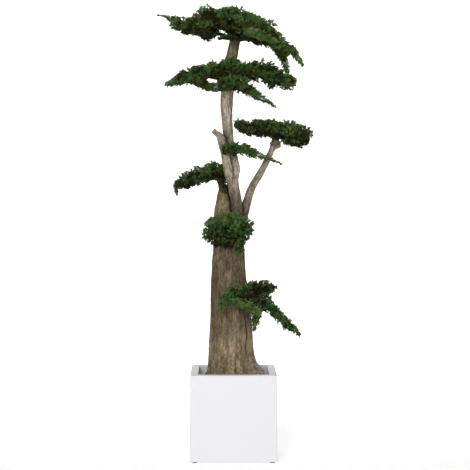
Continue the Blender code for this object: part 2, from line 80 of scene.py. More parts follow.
# Limbs, in millimetres. Each row is a point on the centreline and the radius there
BOLE = metres(
    (-4, 0, 394, 118), (-9, 0, 474, 107), (-11, 0, 640, 97), (-22, 2, 850, 81), (-22, 4, 980, 73),
    (-29, 6, 1070, 64), (-41, 8, 1150, 51), (-46, 8, 1210, 37), (-44, 8, 1285, 20),
)
LEADER = metres(
    (-4, -2, 950, 40), (10, -16, 1100, 33), (13, -20, 1195, 28), (0, -18, 1280, 27),
    (6, -4, 1320, 21), (13, 6, 1358, 19), (4, 10, 1405, 19), (-12, 8, 1462, 19), (-25, 0, 1525, 25),
    (-31, 0, 1610, 27), (-31, 0, 1690, 31), (-19, 0, 1810, 29), (-3, 0, 1905, 27),
    (10, 0, 1975, 25),
)
SIDE_STRAND = metres(
    (10, -19, 1215, 18), (0, -21, 1262, 22), (-16, -29, 1310, 21), (-27, -31, 1358, 22),
    (-39, -27, 1415, 20), (-51, -16, 1478, 22), (-62, -9, 1509, 18), (-82, -6, 1525, 14),
    (-96, -6, 1537, 13),
)
RIGHT_BOUGH = metres(
    (0, 16, 1040, 26), (44, 18, 1130, 24), (62, 15, 1195, 21.5), (86, 11, 1267, 19),
    (130, 10, 1340, 17), (166, 9, 1412, 15.5), (184, 6, 1450, 15), (196, 5, 1473, 21.5),
    (206, 2, 1493, 25),
)
# Cut stubs and a knob where boughs were pruned
LEFT_STUB = metres((196, 0, 1462, 11), (186, -4, 1470, 10), (176, -7, 1481, 8.5))
RIGHT_KNOB = metres((196, 0, 1464, 15), (207, -5, 1467, 16.5), (219, -9, 1472, 12))
STRAND_KNOB = metres((-54, -14, 1495, 12), (-58, -18, 1512, 9.5), (-62, -20, 1528, 5))
LEFT_BOUGH = metres((-50, 10, 1250, 19), (-59, 22, 1290, 15), (-80, 34, 1322, 12))

# How far the bole's foot is sunk into the soil, in metres
BOLE_SUNK = 0.010
# Root flare and flutes of the bole. They stand out by shares of its radius, and the rises are in
# metres
ROOTS = 5
ROOT_SPREAD = 0.05
ROOT_RISE = 0.060
RIGHT_ROOT = 0.24
RIGHT_RISE = 0.042
FLUTES = 7
FLUTE_DEPTH = 0.035

# Fronds: how much painted light or shade their greens take, how close, and rows in millimetres of a
# point on the line and the foliage's half width and half thickness
CROWN_TOP = frond(
    0.1, 1.05, (-160, 0, 2042, 120, 44), (-118, 0, 2062, 180, 62), (-26, 0, 2054, 220, 70),
    (55, 0, 2025, 210, 82), (116, 0, 2006, 170, 73),
)
CROWN_UNDER = frond(
    -1.4, 0.9, (-74, -34, 1962, 20, 10), (-34, -42, 1972, 30, 18), (20, -44, 1974, 34, 22),
    (62, -40, 1964, 28, 16), (100, -36, 1950, 18, 10),
)
CROWN_HANG = frond(
    -1.1, 0.9, (-165, -10, 2000, 30, 16), (-132, -14, 1980, 36, 32), (-98, -14, 1984, 30, 24),
    (-74, -12, 1994, 20, 12),
)
CROWN_LEFT = frond(
    0.0, 1.0, (-100, 25, 2033, 165, 68), (-150, 30, 2031, 150, 65), (-206, 50, 2031, 120, 46),
    (-255, 68, 2036, 85, 37), (-280, 85, 2055, 40, 20), (-316, 100, 2082, 18, 10),
    (-361, 120, 2093, 8, 6),
)
CROWN_RIGHT = frond(
    0.1, 1.0, (78, -10, 2010, 180, 75), (144, -30, 1992, 160, 69), (204, -50, 1948, 110, 54),
    (240, -56, 1912, 60, 30), (254, -58, 1890, 26, 16),
)
CROWN_SHELF = frond(
    1.0, 0.9, (50, -150, 1990, 26, 20), (92, -162, 1976, 34, 26), (140, -160, 1960, 34, 26),
    (184, -150, 1940, 24, 18),
)
CROWN_PRONG = frond(
    0.3, 0.9, (252, -60, 1926, 18, 11), (268, -62, 1916, 36, 28), (286, -66, 1890, 30, 24),
    (304, -70, 1864, 22, 18), (322, -74, 1838, 12, 10),
)
CROWN_TAIL = frond(
    0.0, 0.9, (200, 30, 1945, 50, 30), (225, 40, 1905, 36, 28), (237, 45, 1877, 30, 24),
    (247, 50, 1848, 26, 21), (258, 55, 1818, 18, 15),
)
TIER_LEFT = frond(
    0.0, 1.0, (-20, 0, 1812, 110, 58), (-101, 14, 1820, 150, 46), (-150, 18, 1808, 145, 44),
    (-195, 24, 1794, 130, 44), (-244, 30, 1784, 90, 32), (-286, 30, 1766, 50, 20),
    (-319, 30, 1756, 18, 12),
)
TIER_SHELF = frond(
    -0.3, 0.9, (-215, -50, 1770, 40, 20), (-160, -60, 1758, 46, 26), (-122, -64, 1738, 48, 26),
    (-82, -64, 1734, 44, 22), (-40, -60, 1740, 40, 24),
)
TIER_RIGHT = frond(
    0.35, 1.0, (0, 20, 1828, 120, 54), (98, 36, 1820, 150, 47), (140, 40, 1815, 150, 42),
    (190, 40, 1800, 140, 44), (246, 20, 1778, 100, 46), (280, 10, 1772, 40, 24),
)
TIER_FACE = frond(
    0.0, 0.85, (-90, -58, 1802, 44, 34), (-45, -68, 1818, 52, 52), (5, -72, 1820, 56, 57),
    (55, -68, 1806, 52, 49), (100, -56, 1806, 40, 34),
)
TIER_DROP_ONE = frond(
    -0.5, 0.9, (182, -30, 1795, 40, 34), (180, -34, 1765, 38, 32), (178, -36, 1742, 26, 22),
)
TIER_DROP_TWO = frond(
    -0.3, 0.9, (258, -10, 1785, 36, 26), (254, -14, 1758, 32, 24), (250, -16, 1738, 24, 16),
)
TIER_FRONT = frond(
    0.2, 0.9, (-62, -70, 1750, 40, 24), (-40, -78, 1753, 54, 38), (2, -96, 1750, 66, 50),
    (34, -108, 1744, 60, 46), (66, -118, 1723, 54, 38), (118, -130, 1685, 38, 22),
    (159, -140, 1664, 20, 13), (193, -150, 1638, 7, 6),
)
RIGHT_PAD = frond(
    -0.1, 0.86, (24, -10, 1569, 34, 31), (46, -10, 1554, 60, 40), (80, -10, 1543, 85, 43),
    (149, 0, 1548, 120, 53), (229, 0, 1535, 140, 62), (299, -5, 1513, 120, 67),
    (330, -18, 1516, 70, 48), (343, -22, 1520, 30, 24),
)
MIDDLE_SPRAY = frond(
    0.2, 0.9, (-45, -62, 1447, 26, 25), (-2, -70, 1449, 42, 38), (50, -74, 1447, 46, 37),
    (84, -78, 1432, 38, 26), (116, -80, 1419, 30, 21), (160, -80, 1405, 20, 14),
    (223, -80, 1379, 7, 6),
)
LEFT_PAD = frond(
    -0.1, 0.8, (-26, 50, 1336, 62, 46), (-64, 46, 1342, 80, 52), (-101, 42, 1340, 90, 55),
    (-168, 30, 1321, 90, 56), (-224, 20, 1299, 70, 44), (-267, 20, 1276, 30, 22),
    (-268, 20, 1238, 8, 7),
)
LEFT_DROP = frond(
    -1.2, 0.9, (-48, 4, 1332, 40, 44), (-36, 6, 1304, 38, 42), (-38, -18, 1276, 28, 31),
    (-40, -32, 1254, 15, 16),
)
COLLAR = frond(
    0.3, 0.78, (-108, -85, 1042, 36, 44), (-82, -108, 1060, 54, 79), (-26, -124, 1070, 60, 92),
    (30, -110, 1080, 55, 72), (62, -90, 1088, 38, 46),
)
COLLAR_DROP = frond(
    0.4, 0.78, (2, -130, 1044, 30, 37), (22, -135, 1007, 37, 40), (27, -130, 974, 24, 26),
)
LOW_TOP = frond(
    -0.2, 0.85, (58, -45, 799, 45, 34), (100, -50, 797, 66, 41), (143, -52, 801, 58, 41),
    (178, -52, 796, 26, 30),
)
LOW_BRIGHT = frond(
    0.9, 0.8, (-18, -170, 752, 20, 12), (20, -174, 741, 30, 22), (60, -172, 726, 34, 27),
    (96, -160, 703, 30, 24), (118, -146, 678, 22, 16),
)
LOW_FRONT = frond(
    0.5, 0.85, (77, -85, 766, 42, 48), (11, -128, 784, 44, 42), (-40, -140, 752, 34, 30),
    (-53, -140, 704, 18, 16),
)
LOW_TAIL = frond(
    0.0, 0.85, (90, -60, 785, 50, 37), (150, -68, 730, 48, 46), (202, -80, 679, 40, 32),
    (252, -90, 630, 30, 31), (288, -100, 605, 20, 18), (306, -100, 582, 9, 8),
)
LOW_TUFT = frond(
    0.5, 0.85, (112, -64, 772, 44, 44), (106, -80, 735, 46, 44), (104, -94, 682, 32, 34),
    (104, -94, 645, 25, 25), (96, -94, 607, 13, 11),
)

# Each mass: its fronds, and the stem that carries it, as rows of a limb
MASSES = {
    "crown_top": ([CROWN_TOP, CROWN_UNDER], metres((10, 0, 1930, 14), (6, 0, 2040, 10))),
    "crown_left": (
        [CROWN_LEFT, CROWN_HANG],
        metres((5, 0, 1957, 10), (-60, 10, 1990, 9), (-150, 30, 2008, 8)),
    ),
    "crown_right": (
        [CROWN_RIGHT, CROWN_SHELF, CROWN_PRONG, CROWN_TAIL],
        metres((8, 0, 1955, 10), (80, -10, 1972, 9), (185, -36, 1962, 7)),
    ),
    "tier_front": ([TIER_FACE, TIER_FRONT], metres((-28, -10, 1730, 10), (0, -90, 1738, 7))),
    "tier_right": (
        [TIER_RIGHT, TIER_DROP_ONE, TIER_DROP_TWO],
        metres((-20, 0, 1790, 11), (110, 30, 1815, 8)),
    ),
    "tier_left": ([TIER_LEFT, TIER_SHELF], metres((-25, 0, 1775, 11), (-140, 15, 1795, 8))),
    "right_pad": ([RIGHT_PAD], metres((202, 2, 1490, 13), (212, 0, 1535, 9))),
    "middle_spray": ([MIDDLE_SPRAY], metres((-42, -20, 1440, 9), (-10, -68, 1448, 6))),
    "left_pad": ([LEFT_PAD, LEFT_DROP], metres((-84, 28, 1318, 10), (-130, 34, 1336, 8))),
    "collar_tuft": ([COLLAR, COLLAR_DROP], metres((-26, -30, 1060, 11), (-26, -120, 1076, 8))),
    "low_spray": (
        [LOW_TOP, LOW_BRIGHT, LOW_FRONT, LOW_TAIL, LOW_TUFT],
        metres((20, -20, 760, 13), (100, -58, 790, 9)),
    ),
}


# Materials


def linear(hex_colour):
    """An sRGB hex colour as linear RGBA."""
    parts = [int(hex_colour[k : k + 2], 16) / 255 for k in (1, 3, 5)]
    return (*(p / 12.92 if p <= 0.04045 else ((p + 0.055) / 1.055) ** 2.4 for p in parts), 1.0)


def add(tree, kind, sockets=(), stops=(), **settings):
    """Adds a node with its settings. A socket takes a number, a colour or another node's output,
    and a colour ramp takes (place, hex colour) stops."""
    made = tree.nodes.new(kind)
    for key, value in settings.items():
        setattr(made, key, value)
    for key, value in dict(sockets).items():
        if isinstance(value, bpy.types.NodeSocket):
            tree.links.new(value, made.inputs[key])
        else:
            made.inputs[key].default_value = value
    for k, (place, colour) in enumerate(stops):
        stop = made.color_ramp.elements[k] if k < 2 else made.color_ramp.elements.new(place)
        stop.position = place
        stop.color = linear(colour)
    return made


def finish(name, colour, roughness, **more):
    """A new material with its Principled shader. Returns the material, its tree and the shader."""
    made = bpy.data.materials.new(name)
    made.use_nodes = True
    shader = made.node_tree.nodes["Principled BSDF"]
    shader.inputs["Base Color"].default_value = linear(colour)
    shader.inputs["Roughness"].default_value = roughness
    for key, value in more.items():
        shader.inputs[key.replace("_", " ")].default_value = value
    return made, made.node_tree, shader


def textured(tree, shader, grain, detail, relief=(), stops=()):
    """Lays grains of a width in metres over a finish: as relief, by its strength and depth, and as
    colours. Returns their pattern."""
    place = add(tree, "ShaderNodeTexCoord").outputs["Object"]
    grains = {"Vector": place, "Scale": 1 / grain, "Detail": detail}
    pattern = add(tree, "ShaderNodeTexNoise", grains).outputs["Fac"]
    if relief:
        bump = {"Height": pattern, "Strength": relief[0], "Distance": relief[1]}
        tree.links.new(add(tree, "ShaderNodeBump", bump).outputs["Normal"], shader.inputs["Normal"])
    if stops:
        shades = add(tree, "ShaderNodeValToRGB", {0: pattern}, stops)
        tree.links.new(shades.outputs["Color"], shader.inputs["Base Color"])
    return pattern


def white_gel_coat():
    """Gel coat over moulded glass fibre: an even, cool white with a faint waviness in its gloss."""
    made, tree, shader = finish("white_gel_coat", "#DFDEE0", 0.5, Specular_IOR_Level=0.22)
    # Waves about 25 mm long, left by the mould, and a fine texture about 2 mm across
    textured(tree, shader, 0.025, 1.0, relief=(0.25, 0.0006))
    grit = textured(tree, shader, 0.002, 2.0)
    gloss = add(tree, "ShaderNodeMapRange", {"Value": grit, "To Min": 0.45, "To Max": 0.56})
    tree.links.new(gloss.outputs["Result"], shader.inputs["Roughness"])
    return made


def grey_glide():
    """Moulded polypropylene: matt grey with a fine spark-eroded texture."""
    made, tree, shader = finish("grey_polypropylene", "#7D7D80", 0.6, IOR=1.49)
    textured(tree, shader, 0.0008, 2.0, relief=(0.4, 0.0002))
    return made


def dark_soil():
    """Composted bark, dry: near black with brown crumbs about 4 mm across."""
    made, tree, shader = finish("dark_composted_bark", "#241A13", 0.95)
    stops = ((0.35, "#120D0A"), (0.55, "#2A1E16"), (0.75, "#4A3827"))
    textured(tree, shader, 0.004, 4.0, relief=(0.9, 0.002), stops=stops)
    return made


def juniper_bark():
    """Stripped, weathered juniper: a mottled brown and grey-green skin with fine fibres along the
    grain, painted darker as shade in its furrows and creases, where limbs meet and under the
    foliage, and pale bare wood on the upper limbs. It reads the limb's own grain, and its wear and
    painted shade."""
    made, tree, shader = finish("weathered_juniper_bark", "#8A7A66", 0.88, Specular_IOR_Level=0.25)
    grain = add(tree, "ShaderNodeAttribute", attribute_name="grain").outputs["Vector"]
    wear_and_shade = add(tree, "ShaderNodeAttribute", attribute_name="wear_and_shade").outputs["Vector"]
    # The painted shade, and the bare wood and moss, at each point of the limb
    painted_shade_share, pale, moss = add(tree, "ShaderNodeSeparateXYZ", {"Vector": wear_and_shade}).outputs
    # Patterns drawn out along the grain, by the width and length of a fibre in metres, and detail
    patterns = []
    for width, length, detail in (
        (0.010, 0.018, 4.0),
        (0.0055, 0.050, 3.0),
        (0.030, 0.075, 2.0),
        (0.026, 0.060, 3.0),
        (0.007, 0.010, 2.0),
        (0.0065, 0.0080, 2.0),
    ):
        scale = (1 / width, 1 / width, 1 / length)
        drawn = add(tree, "ShaderNodeVectorMath", {0: grain, 1: scale}, operation="MULTIPLY")
        fibres = {"Vector": drawn.outputs["Vector"], "Scale": 1.0, "Detail": detail}
        patterns.append(add(tree, "ShaderNodeTexNoise", fibres).outputs["Fac"])
    mottle, threads, blots, lichen, specks, grains = patterns
    # The bark with its lichen, and the bare wood with its dark specks
    browns = ((0.28, "#7C6C55"), (0.44, "#9B896D"), (0.58, "#AF9D80"), (0.74, "#C2B192"))
    bares = ((0.28, "#9A8F80"), (0.42, "#B5AB9B"), (0.58, "#C8C0B0"), (0.74, "#D8D2C6"))
    skins = []
    for stops, pattern, parts, spot in (
        (browns, lichen, ((0.46, "#000000"), (0.62, "#A8A8A8")), "#807E68"),
        (bares, specks, ((0.57, "#000000"), (0.72, "#909090")), "#5C5145"),
    ):
        skin = add(tree, "ShaderNodeValToRGB", {0: mottle}, stops).outputs["Color"]
        share = add(tree, "ShaderNodeValToRGB", {0: pattern}, parts).outputs["Color"]
        both = {0: share, 6: skin, 7: linear(spot)}
        skins.append(add(tree, "ShaderNodeMix", both, data_type="RGBA").outputs[2])
    both = {0: pale, 6: skins[0], 7: skins[1]}
    colour = add(tree, "ShaderNodeMix", both, data_type="RGBA").outputs[2]
    for share, pattern, kind, stops in (
        (0.5, threads, "MULTIPLY", ((0.34, "#A39C95"), (0.60, "#FFFFFF"))),
        (0.5, grains, "MULTIPLY", ((0.36, "#A09888"), (0.56, "#FFFFFF"))),
        (0.7, blots, "MULTIPLY", ((0.36, "#A99D92"), (0.58, "#FFFFFF"))),
        (moss, mottle, "MIX", ((0.3, "#57571F"), (0.7, "#968F3A"))),
        # Painted shade, darkening the bark towards a dark brown
        (1.0, painted_shade_share, "MULTIPLY", ((0.05, "#FFFFFF"), (0.95, "#5E5042"))),
    ):
        coat = add(tree, "ShaderNodeValToRGB", {0: pattern}, stops).outputs["Color"]
        both = {0: share, 6: colour, 7: coat}
        colour = add(tree, "ShaderNodeMix", both, data_type="RGBA", blend_type=kind).outputs[2]
    tree.links.new(colour, shader.inputs["Base Color"])
    relief = {"Height": threads, "Strength": 0.7, "Distance": 0.0010}
    fine = add(tree, "ShaderNodeBump", relief).outputs["Normal"]
    relief = {"Height": mottle, "Strength": 0.6, "Distance": 0.0020, "Normal": fine}
    coarse = add(tree, "ShaderNodeBump", relief).outputs["Normal"]
    tree.links.new(coarse, shader.inputs["Normal"])
    return made


def twig_bark():
    """Thin twig bark: brown, matt, with darker bands about 8 mm wide."""
    made, tree, shader = finish("brown_twig_bark", "#3C3222", 0.8, Specular_IOR_Level=0.2)
    textured(tree, shader, 0.008, 2.0, stops=((0.35, "#17120B"), (0.65, "#30281A")))
    return made


# Preserved scale leaves: matt, from brown through dark green to yellow-green. Each spray takes one
# of them whole: lighter greens paint light on the tops, and darker ones paint shade underneath, in
# the creases between lobes and inside them, over patches of tone.
GREENS = {
    "cool": "#263114 #38502A #486836 #587D44 #698F51 #7B9F5F #90B06D #A9C27E".split(),
    "warm": "#2F2811 #434A1E #53652C #65783A #778A47 #8A9B55 #9FAD63 #B6BF74".split(),
}
SHADES = len(GREENS["cool"])


def leaf_greens():
    return [
        finish(f"preserved_{tone}_green_{k + 1}", colour, 0.7, Specular_IOR_Level=0.12)[0]
        for tone, colours in GREENS.items()
        for k, colour in enumerate(colours)
    ]


# Lines of rows, read at many places at once


def along(rows, shares):
    """Every column of the rows, smoothly interpolated at shares of the way from first to last."""
    rows = np.asarray(rows, float)
    at = np.clip(shares, 0.0, 1.0) * (len(rows) - 1)
    i = np.minimum(at.astype(int), len(rows) - 2)
    f = (at - i)[:, None]
    a, b, c, d = (rows[np.clip(i + k, 0, len(rows) - 1)] for k in (-1, 0, 1, 2))
    return b + 0.5 * f * (c - a + f * (2 * a - 5 * b + 4 * c - d + f * (3 * (b - c) + d - a)))


def lengths(vectors):
    return np.linalg.norm(vectors, axis=-1)


def unit(vectors):
    return vectors / np.maximum(lengths(vectors), 1e-12)[..., None]


def frames(rows, shares):
    """Points, tangents, sides and rises of a line of rows, and its remaining columns."""
    values = along(rows, shares)
    tangents = unit(along(rows, shares + 0.02)[:, :3] - along(rows, shares - 0.02)[:, :3])
    sides = unit(ACROSS - tangents * (tangents @ ACROSS)[:, None])
    return values[:, :3], tangents, sides, np.cross(tangents, sides), values[:, 3:]


def length_of(rows):
    points = np.asarray(rows, float)[:, :3]
    return float(lengths(np.diff(points, axis=0)).sum())


def limb_distance(rows, points):
    """How far points lie outside a limb's round surface, in metres."""
    nearest = np.full(len(points), 1.0)
    for row in along(rows, np.linspace(0, 1, 80)):
        nearest = np.minimum(nearest, lengths(points - row[:3]) - row[3])
    return nearest


# Pieces and their mesh


def alone(obj=None):
    """Selects nothing, or one object only, and makes it active."""
    bpy.ops.object.select_all(action="DESELECT")
    if obj:
        obj.select_set(True)
        bpy.context.view_layer.objects.active = obj


def settle(obj, name, *materials):
    """Names a piece, bakes its place into its mesh and gives it its materials."""
    alone(obj)
    bpy.ops.object.transform_apply(location=True, rotation=True, scale=True)
    obj.name = obj.data.name = name
    obj.data.materials.clear()
    for material in materials:
        obj.data.materials.append(material)
    return obj


def belongs(obj, node):
    """The piece rides on the one body and stands for its node, whose solid it hides."""
    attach(obj, "root")
    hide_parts(node)


def smooth(obj, degrees):
    """Shades a piece smooth, apart from the edges that are sharper than an angle."""
    obj.data.shade_smooth()
    obj.data.set_sharp_from_angle(angle=math.radians(degrees))


def mode(kind):
    bpy.ops.object.mode_set(mode=kind)


def apply_modifier(obj, kind, **settings):
    alone(obj)
    modifier = obj.modifiers.new(kind.lower(), kind)
    for key, value in settings.items():
        setattr(modifier, key, value)
    bpy.ops.object.modifier_apply(modifier=modifier.name)


# The planter, its glides and the soil


def edges_where(obj, test):
    """In edit mode, selects only the edges whose two ends pass a test."""
    bpy.ops.mesh.select_all(action="DESELECT")
    mode("OBJECT")
    points = [v.co for v in obj.data.vertices]
    for edge in obj.data.edges:
        edge.select = all(test(points[k]) for k in edge.vertices)
    mode("EDIT")


def top_face(obj):
    """In edit mode, selects only the highest level face."""
    bpy.ops.mesh.select_all(action="DESELECT")
    mode("OBJECT")
    highest = max(obj.data.polygons, key=lambda p: p.center.z * (p.normal.z > 0.9))
    highest.select = True
    mode("EDIT")


def draw_out(rise, half_width, from_half_width):
    """Extrudes the selected level face by a rise, then widens or narrows it."""
    bpy.ops.mesh.extrude_region_move(TRANSFORM_OT_translate={"value": (0, 0, rise)})
    share = half_width / from_half_width
    bpy.ops.transform.resize(value=(share, share, 1.0))


def planter(material):
    """A moulded cube shell with a turned-in rim: drawn out of a block, lip, skirt and inside."""
    half = POT_SIDE / 2
    mouth = half - RIM_WIDTH
    skirt = mouth + POT_WALL
    inside = half - POT_WALL
    alone()
    middle = (0, 0, (POT_BASE + RIM) / 2)
    bpy.ops.mesh.primitive_cube_add(size=POT_SIDE, location=middle)
    pot = settle(bpy.context.object, "white_planter", material)
    mode("EDIT")
    bpy.ops.mesh.select_mode(type="FACE")
    top_face(pot)
    draw_out(0.0, mouth, half)
    draw_out(-SKIRT_DEPTH, mouth, mouth)
    draw_out(0.0, skirt, mouth)
    draw_out(SKIRT_DEPTH - RIM_THICKNESS, skirt, skirt)
    draw_out(0.0, inside, skirt)
    draw_out(POT_BASE + POT_FLOOR - RIM + RIM_THICKNESS, inside, inside)
    bpy.ops.mesh.select_mode(type="EDGE")
    edges_where(pot, lambda p: abs(abs(p.x) - half) < 1e-5 and abs(abs(p.y) - half) < 1e-5)
    bpy.ops.mesh.bevel(offset=CORNER_RADIUS, segments=5, profile=0.5)
    mode("OBJECT")
    apply_modifier(
        pot, "BEVEL", width=EDGE_EASE, segments=4, limit_method="ANGLE", angle_limit=1.2
    )
    smooth(pot, 30)
    belongs(pot, "planter")


def glides(material):
    """Four small round glides with an eased lower edge."""
    for end, y in (("front", -GLIDE_OUT), ("back", GLIDE_OUT)):
        for hand, x in (("left", -GLIDE_OUT), ("right", GLIDE_OUT)):
            name = f"glide_{end}_{hand}"
            place = (x, y, GLIDE_HEIGHT / 2)
            alone()
            bpy.ops.mesh.primitive_cylinder_add(
                vertices=40, radius=GLIDE_RADIUS, depth=GLIDE_HEIGHT, location=place
            )
            glide = settle(bpy.context.object, "grey_" + name, material)
            apply_modifier(glide, "BEVEL", width=GLIDE_EASE, segments=3, limit_method="ANGLE")
            smooth(glide, 30)
            belongs(glide, name)


def soil_height(x, y):
    """The soil's surface: a flat mound under the trunk that falls to the planter's wall."""
    out = math.hypot(x - MOUND_CENTRE, y)
    fall = min(max((out - MOUND_RADIUS) / 0.020, 0.0), 1.0)
    # Lumps about 22 mm across and crumbs about 8 mm across
    lumps = noise.noise((x / 0.022, y / 0.022, 3.0)) * 0.0035
    crumbs = noise.noise((x / 0.008, y / 0.008, 9.0)) * 0.0015
    drop = (MOUND_TOP - SOIL_AT_WALL) * fall * fall * (3 - 2 * fall)
    return MOUND_TOP + (lumps + crumbs) - drop


def soil(material):
    """The filling below the skirt and inside it, with a crumbly top."""
    inside = POT_SIDE / 2 - POT_WALL - SOIL_GAP
    mouth = POT_SIDE / 2 - RIM_WIDTH - SOIL_GAP
    floor = POT_BASE + POT_FLOOR + SOIL_GAP
    below_skirt = RIM - SKIRT_DEPTH - SOIL_GAP
    alone()
    bpy.ops.mesh.primitive_cube_add(
        size=1,
        location=(0, 0, (floor + below_skirt) / 2),
        scale=(2 * inside, 2 * inside, below_skirt - floor),
    )
    bed = settle(bpy.context.object, "composted_bark_bed", material)
    mode("EDIT")
    bpy.ops.mesh.select_mode(type="FACE")
    top_face(bed)
    draw_out(0.0, mouth, inside)
    draw_out(SOIL_AT_WALL - below_skirt, mouth, mouth)
    bpy.ops.mesh.subdivide(number_cuts=95)
    mode("OBJECT")
    for vertex in bed.data.vertices:
        x, y, z = vertex.co
        if z > SOIL_AT_WALL - 1e-4 and max(abs(x), abs(y)) < mouth - 1e-4:
            vertex.co.z = soil_height(x, y)
    smooth(bed, 60)
    belongs(bed, "soil")


# Trunk and boughs


def grain_noise(grain, width, length, seed):
    """Noise drawn out along the grain, for each point: width round the limb, length along it."""
    scaled = grain / (width, width, length) + (0, 0, seed)
    return np.array([noise.noise(p) for p in scaled.tolist()])


def furrows(grain, width, length, seed, sharpness):
    """1 at the bottom of narrow furrows that run with the grain, falling to 0 beside them."""
    return np.exp(-((grain_noise(grain, width, length, seed) / sharpness) ** 2))


def wrapped(angle):
    return (angle + math.pi) % TURN - math.pi


def bole_swell(angle, height):
    """Flutes all the way up, and roots that spread just above the ground, the right one most."""
    flare = np.exp(-(((height - GROUND) / ROOT_RISE) ** 2))
    flutes = FLUTE_DEPTH * np.cos(FLUTES * angle + 2.2 * np.sin(2.5 * height))
    roots = ROOT_SPREAD * flare * np.cos(ROOTS * angle + 0.9)
    low = np.exp(-(((height - GROUND) / RIGHT_RISE) ** 2))
    right = RIGHT_ROOT * low * np.maximum(0.0, np.cos(angle)) ** 6
    return 1.0 + flutes + roots + right


# Creases in the bole: (angle at the foot, turn per metre, from, to, half width, depth), in metres
# up from the ground. The first is the one that shows at the front.
CREASES = [
    (-1.40, 0.05, -0.02, 0.17, 0.004, 0.006),
    (-0.75, -0.25, 0.10, 0.40, 0.004, 0.003),
    (0.55, 0.15, -0.02, 0.50, 0.006, 0.006),
    (1.60, -0.10, -0.02, 0.45, 0.007, 0.009),
    (2.60, 0.10, 0.00, 0.60, 0.006, 0.006),
]


def limb(name, rows, sides, spacing, rough, beside=(), jagged=0.0):
    """A tapering limb: an unrolled grid, rolled round its line with the bark's relief, and closed.

    spacing is from ring to ring, rough is the height of the relief, and jagged is how far a broken
    end splinters, all in metres. Shade is painted on the limb in its furrows and creases, and where
    it meets each limb beside it, above the height that is given with that limb. The bole has level
    rings, and angle 0 is +X.
    """
    is_bole = name == "bole"
    length = length_of(rows)
    count = max(8, round(length / spacing))
    alone()
    bpy.ops.mesh.primitive_grid_add(x_subdivisions=sides, y_subdivisions=count, size=2)
    made = settle(bpy.context.object, name)
    mesh = made.data
    flat = np.empty(len(mesh.vertices) * 3, np.float32)
    mesh.vertices.foreach_get("co", flat)
    flat = flat.reshape(-1, 3).astype(float)
    angle = np.round((flat[:, 0] + 1) / 2 * sides) % sides / sides * TURN
    share = (flat[:, 1] + 1) / 2
    points, tangents, side, rise, columns = frames(rows, share)
    radius = columns[:, 0]
    if is_bole:
        side, rise = np.array((1.0, 0.0, 0.0)), ACROSS
        radius = radius * bole_swell(angle, points[:, 2])
    c, s = np.cos(angle), np.sin(angle)
    run = share * length
    grain = np.stack((radius * c, radius * s, run), axis=1)
    # Furrows between strips 18 mm wide and threads 7 mm wide, over broad waves and small lumps
    strips = furrows(grain, 0.018, 0.12, 1.0, 0.08)
    threads = furrows(grain, 0.007, 0.05, 5.0, 0.16)
    broad = grain_noise(grain, 0.034, 0.09, 8.0)
    lumps = grain_noise(grain, 0.013, 0.022, 4.0)
    relief = rough * (1.1 * broad + 0.8 * lumps - 0.45 * strips - 0.35 * threads)
    # Shade painted into the furrows
    painted_shade = 0.16 * strips + 0.14 * threads
    for at, twist, start, end, width, depth in CREASES if is_bole else ():
        wander = 0.004 * np.sin(run * 23 + at * 9) + 0.003 * np.sin(run * 61 + at)
        across = wrapped(angle - at - twist * run) * radius + wander
        shown = np.clip((run - start) / 0.05, 0, 1) * np.clip((end - run) / 0.12, 0, 1)
        cut = shown * np.exp(-((across / width) ** 2))
        relief -= depth * cut
        # Shade painted into the crease
        painted_shade = np.maximum(painted_shade, 0.95 * cut)
    if jagged:
        end = np.clip((share - 0.9) / 0.1, 0, 1)[:, None]
        splinters = jagged * grain_noise(grain * (1, 1, 0), 0.006, 1.0, 2.0)
        points = points + tangents * end * splinters[:, None]
    reach = (radius + relief)[:, None]
    placed = points + (side * c[:, None] + rise * s[:, None]) * reach
    # Painted shadow where each limb beside it meets this one, above the height given with it
    for other, low in beside:
        near = np.maximum(limb_distance(other, placed), 0)
        shadow = 0.50 * np.exp(-((near / 0.020) ** 2)) + 0.35 * np.exp(-((near / 0.007) ** 2))
        painted_shade = np.maximum(painted_shade, shadow * np.clip((placed[:, 2] - low) / 0.04, 0, 1))
    if is_bole:
        placed[:, 2] -= BOLE_SUNK * (share < 1e-6)
    mesh.vertices.foreach_set("co", placed.astype(np.float32).ravel())
    for key, values in (("grain", grain), ("wear_and_shade", wear_and_shade_of(name, placed, painted_shade))):
        mesh.attributes.new(key, "FLOAT_VECTOR", "POINT")
        mesh.attributes[key].data.foreach_set("vector", values.astype(np.float32).ravel())
    mode("EDIT")
    bpy.ops.mesh.select_all(action="SELECT")
    bpy.ops.mesh.remove_doubles(threshold=1e-5)
    bpy.ops.mesh.fill_holes(sides=0)
    bpy.ops.mesh.select_all(action="SELECT")
    bpy.ops.mesh.normals_make_consistent(inside=False)
    mode("OBJECT")
    return made


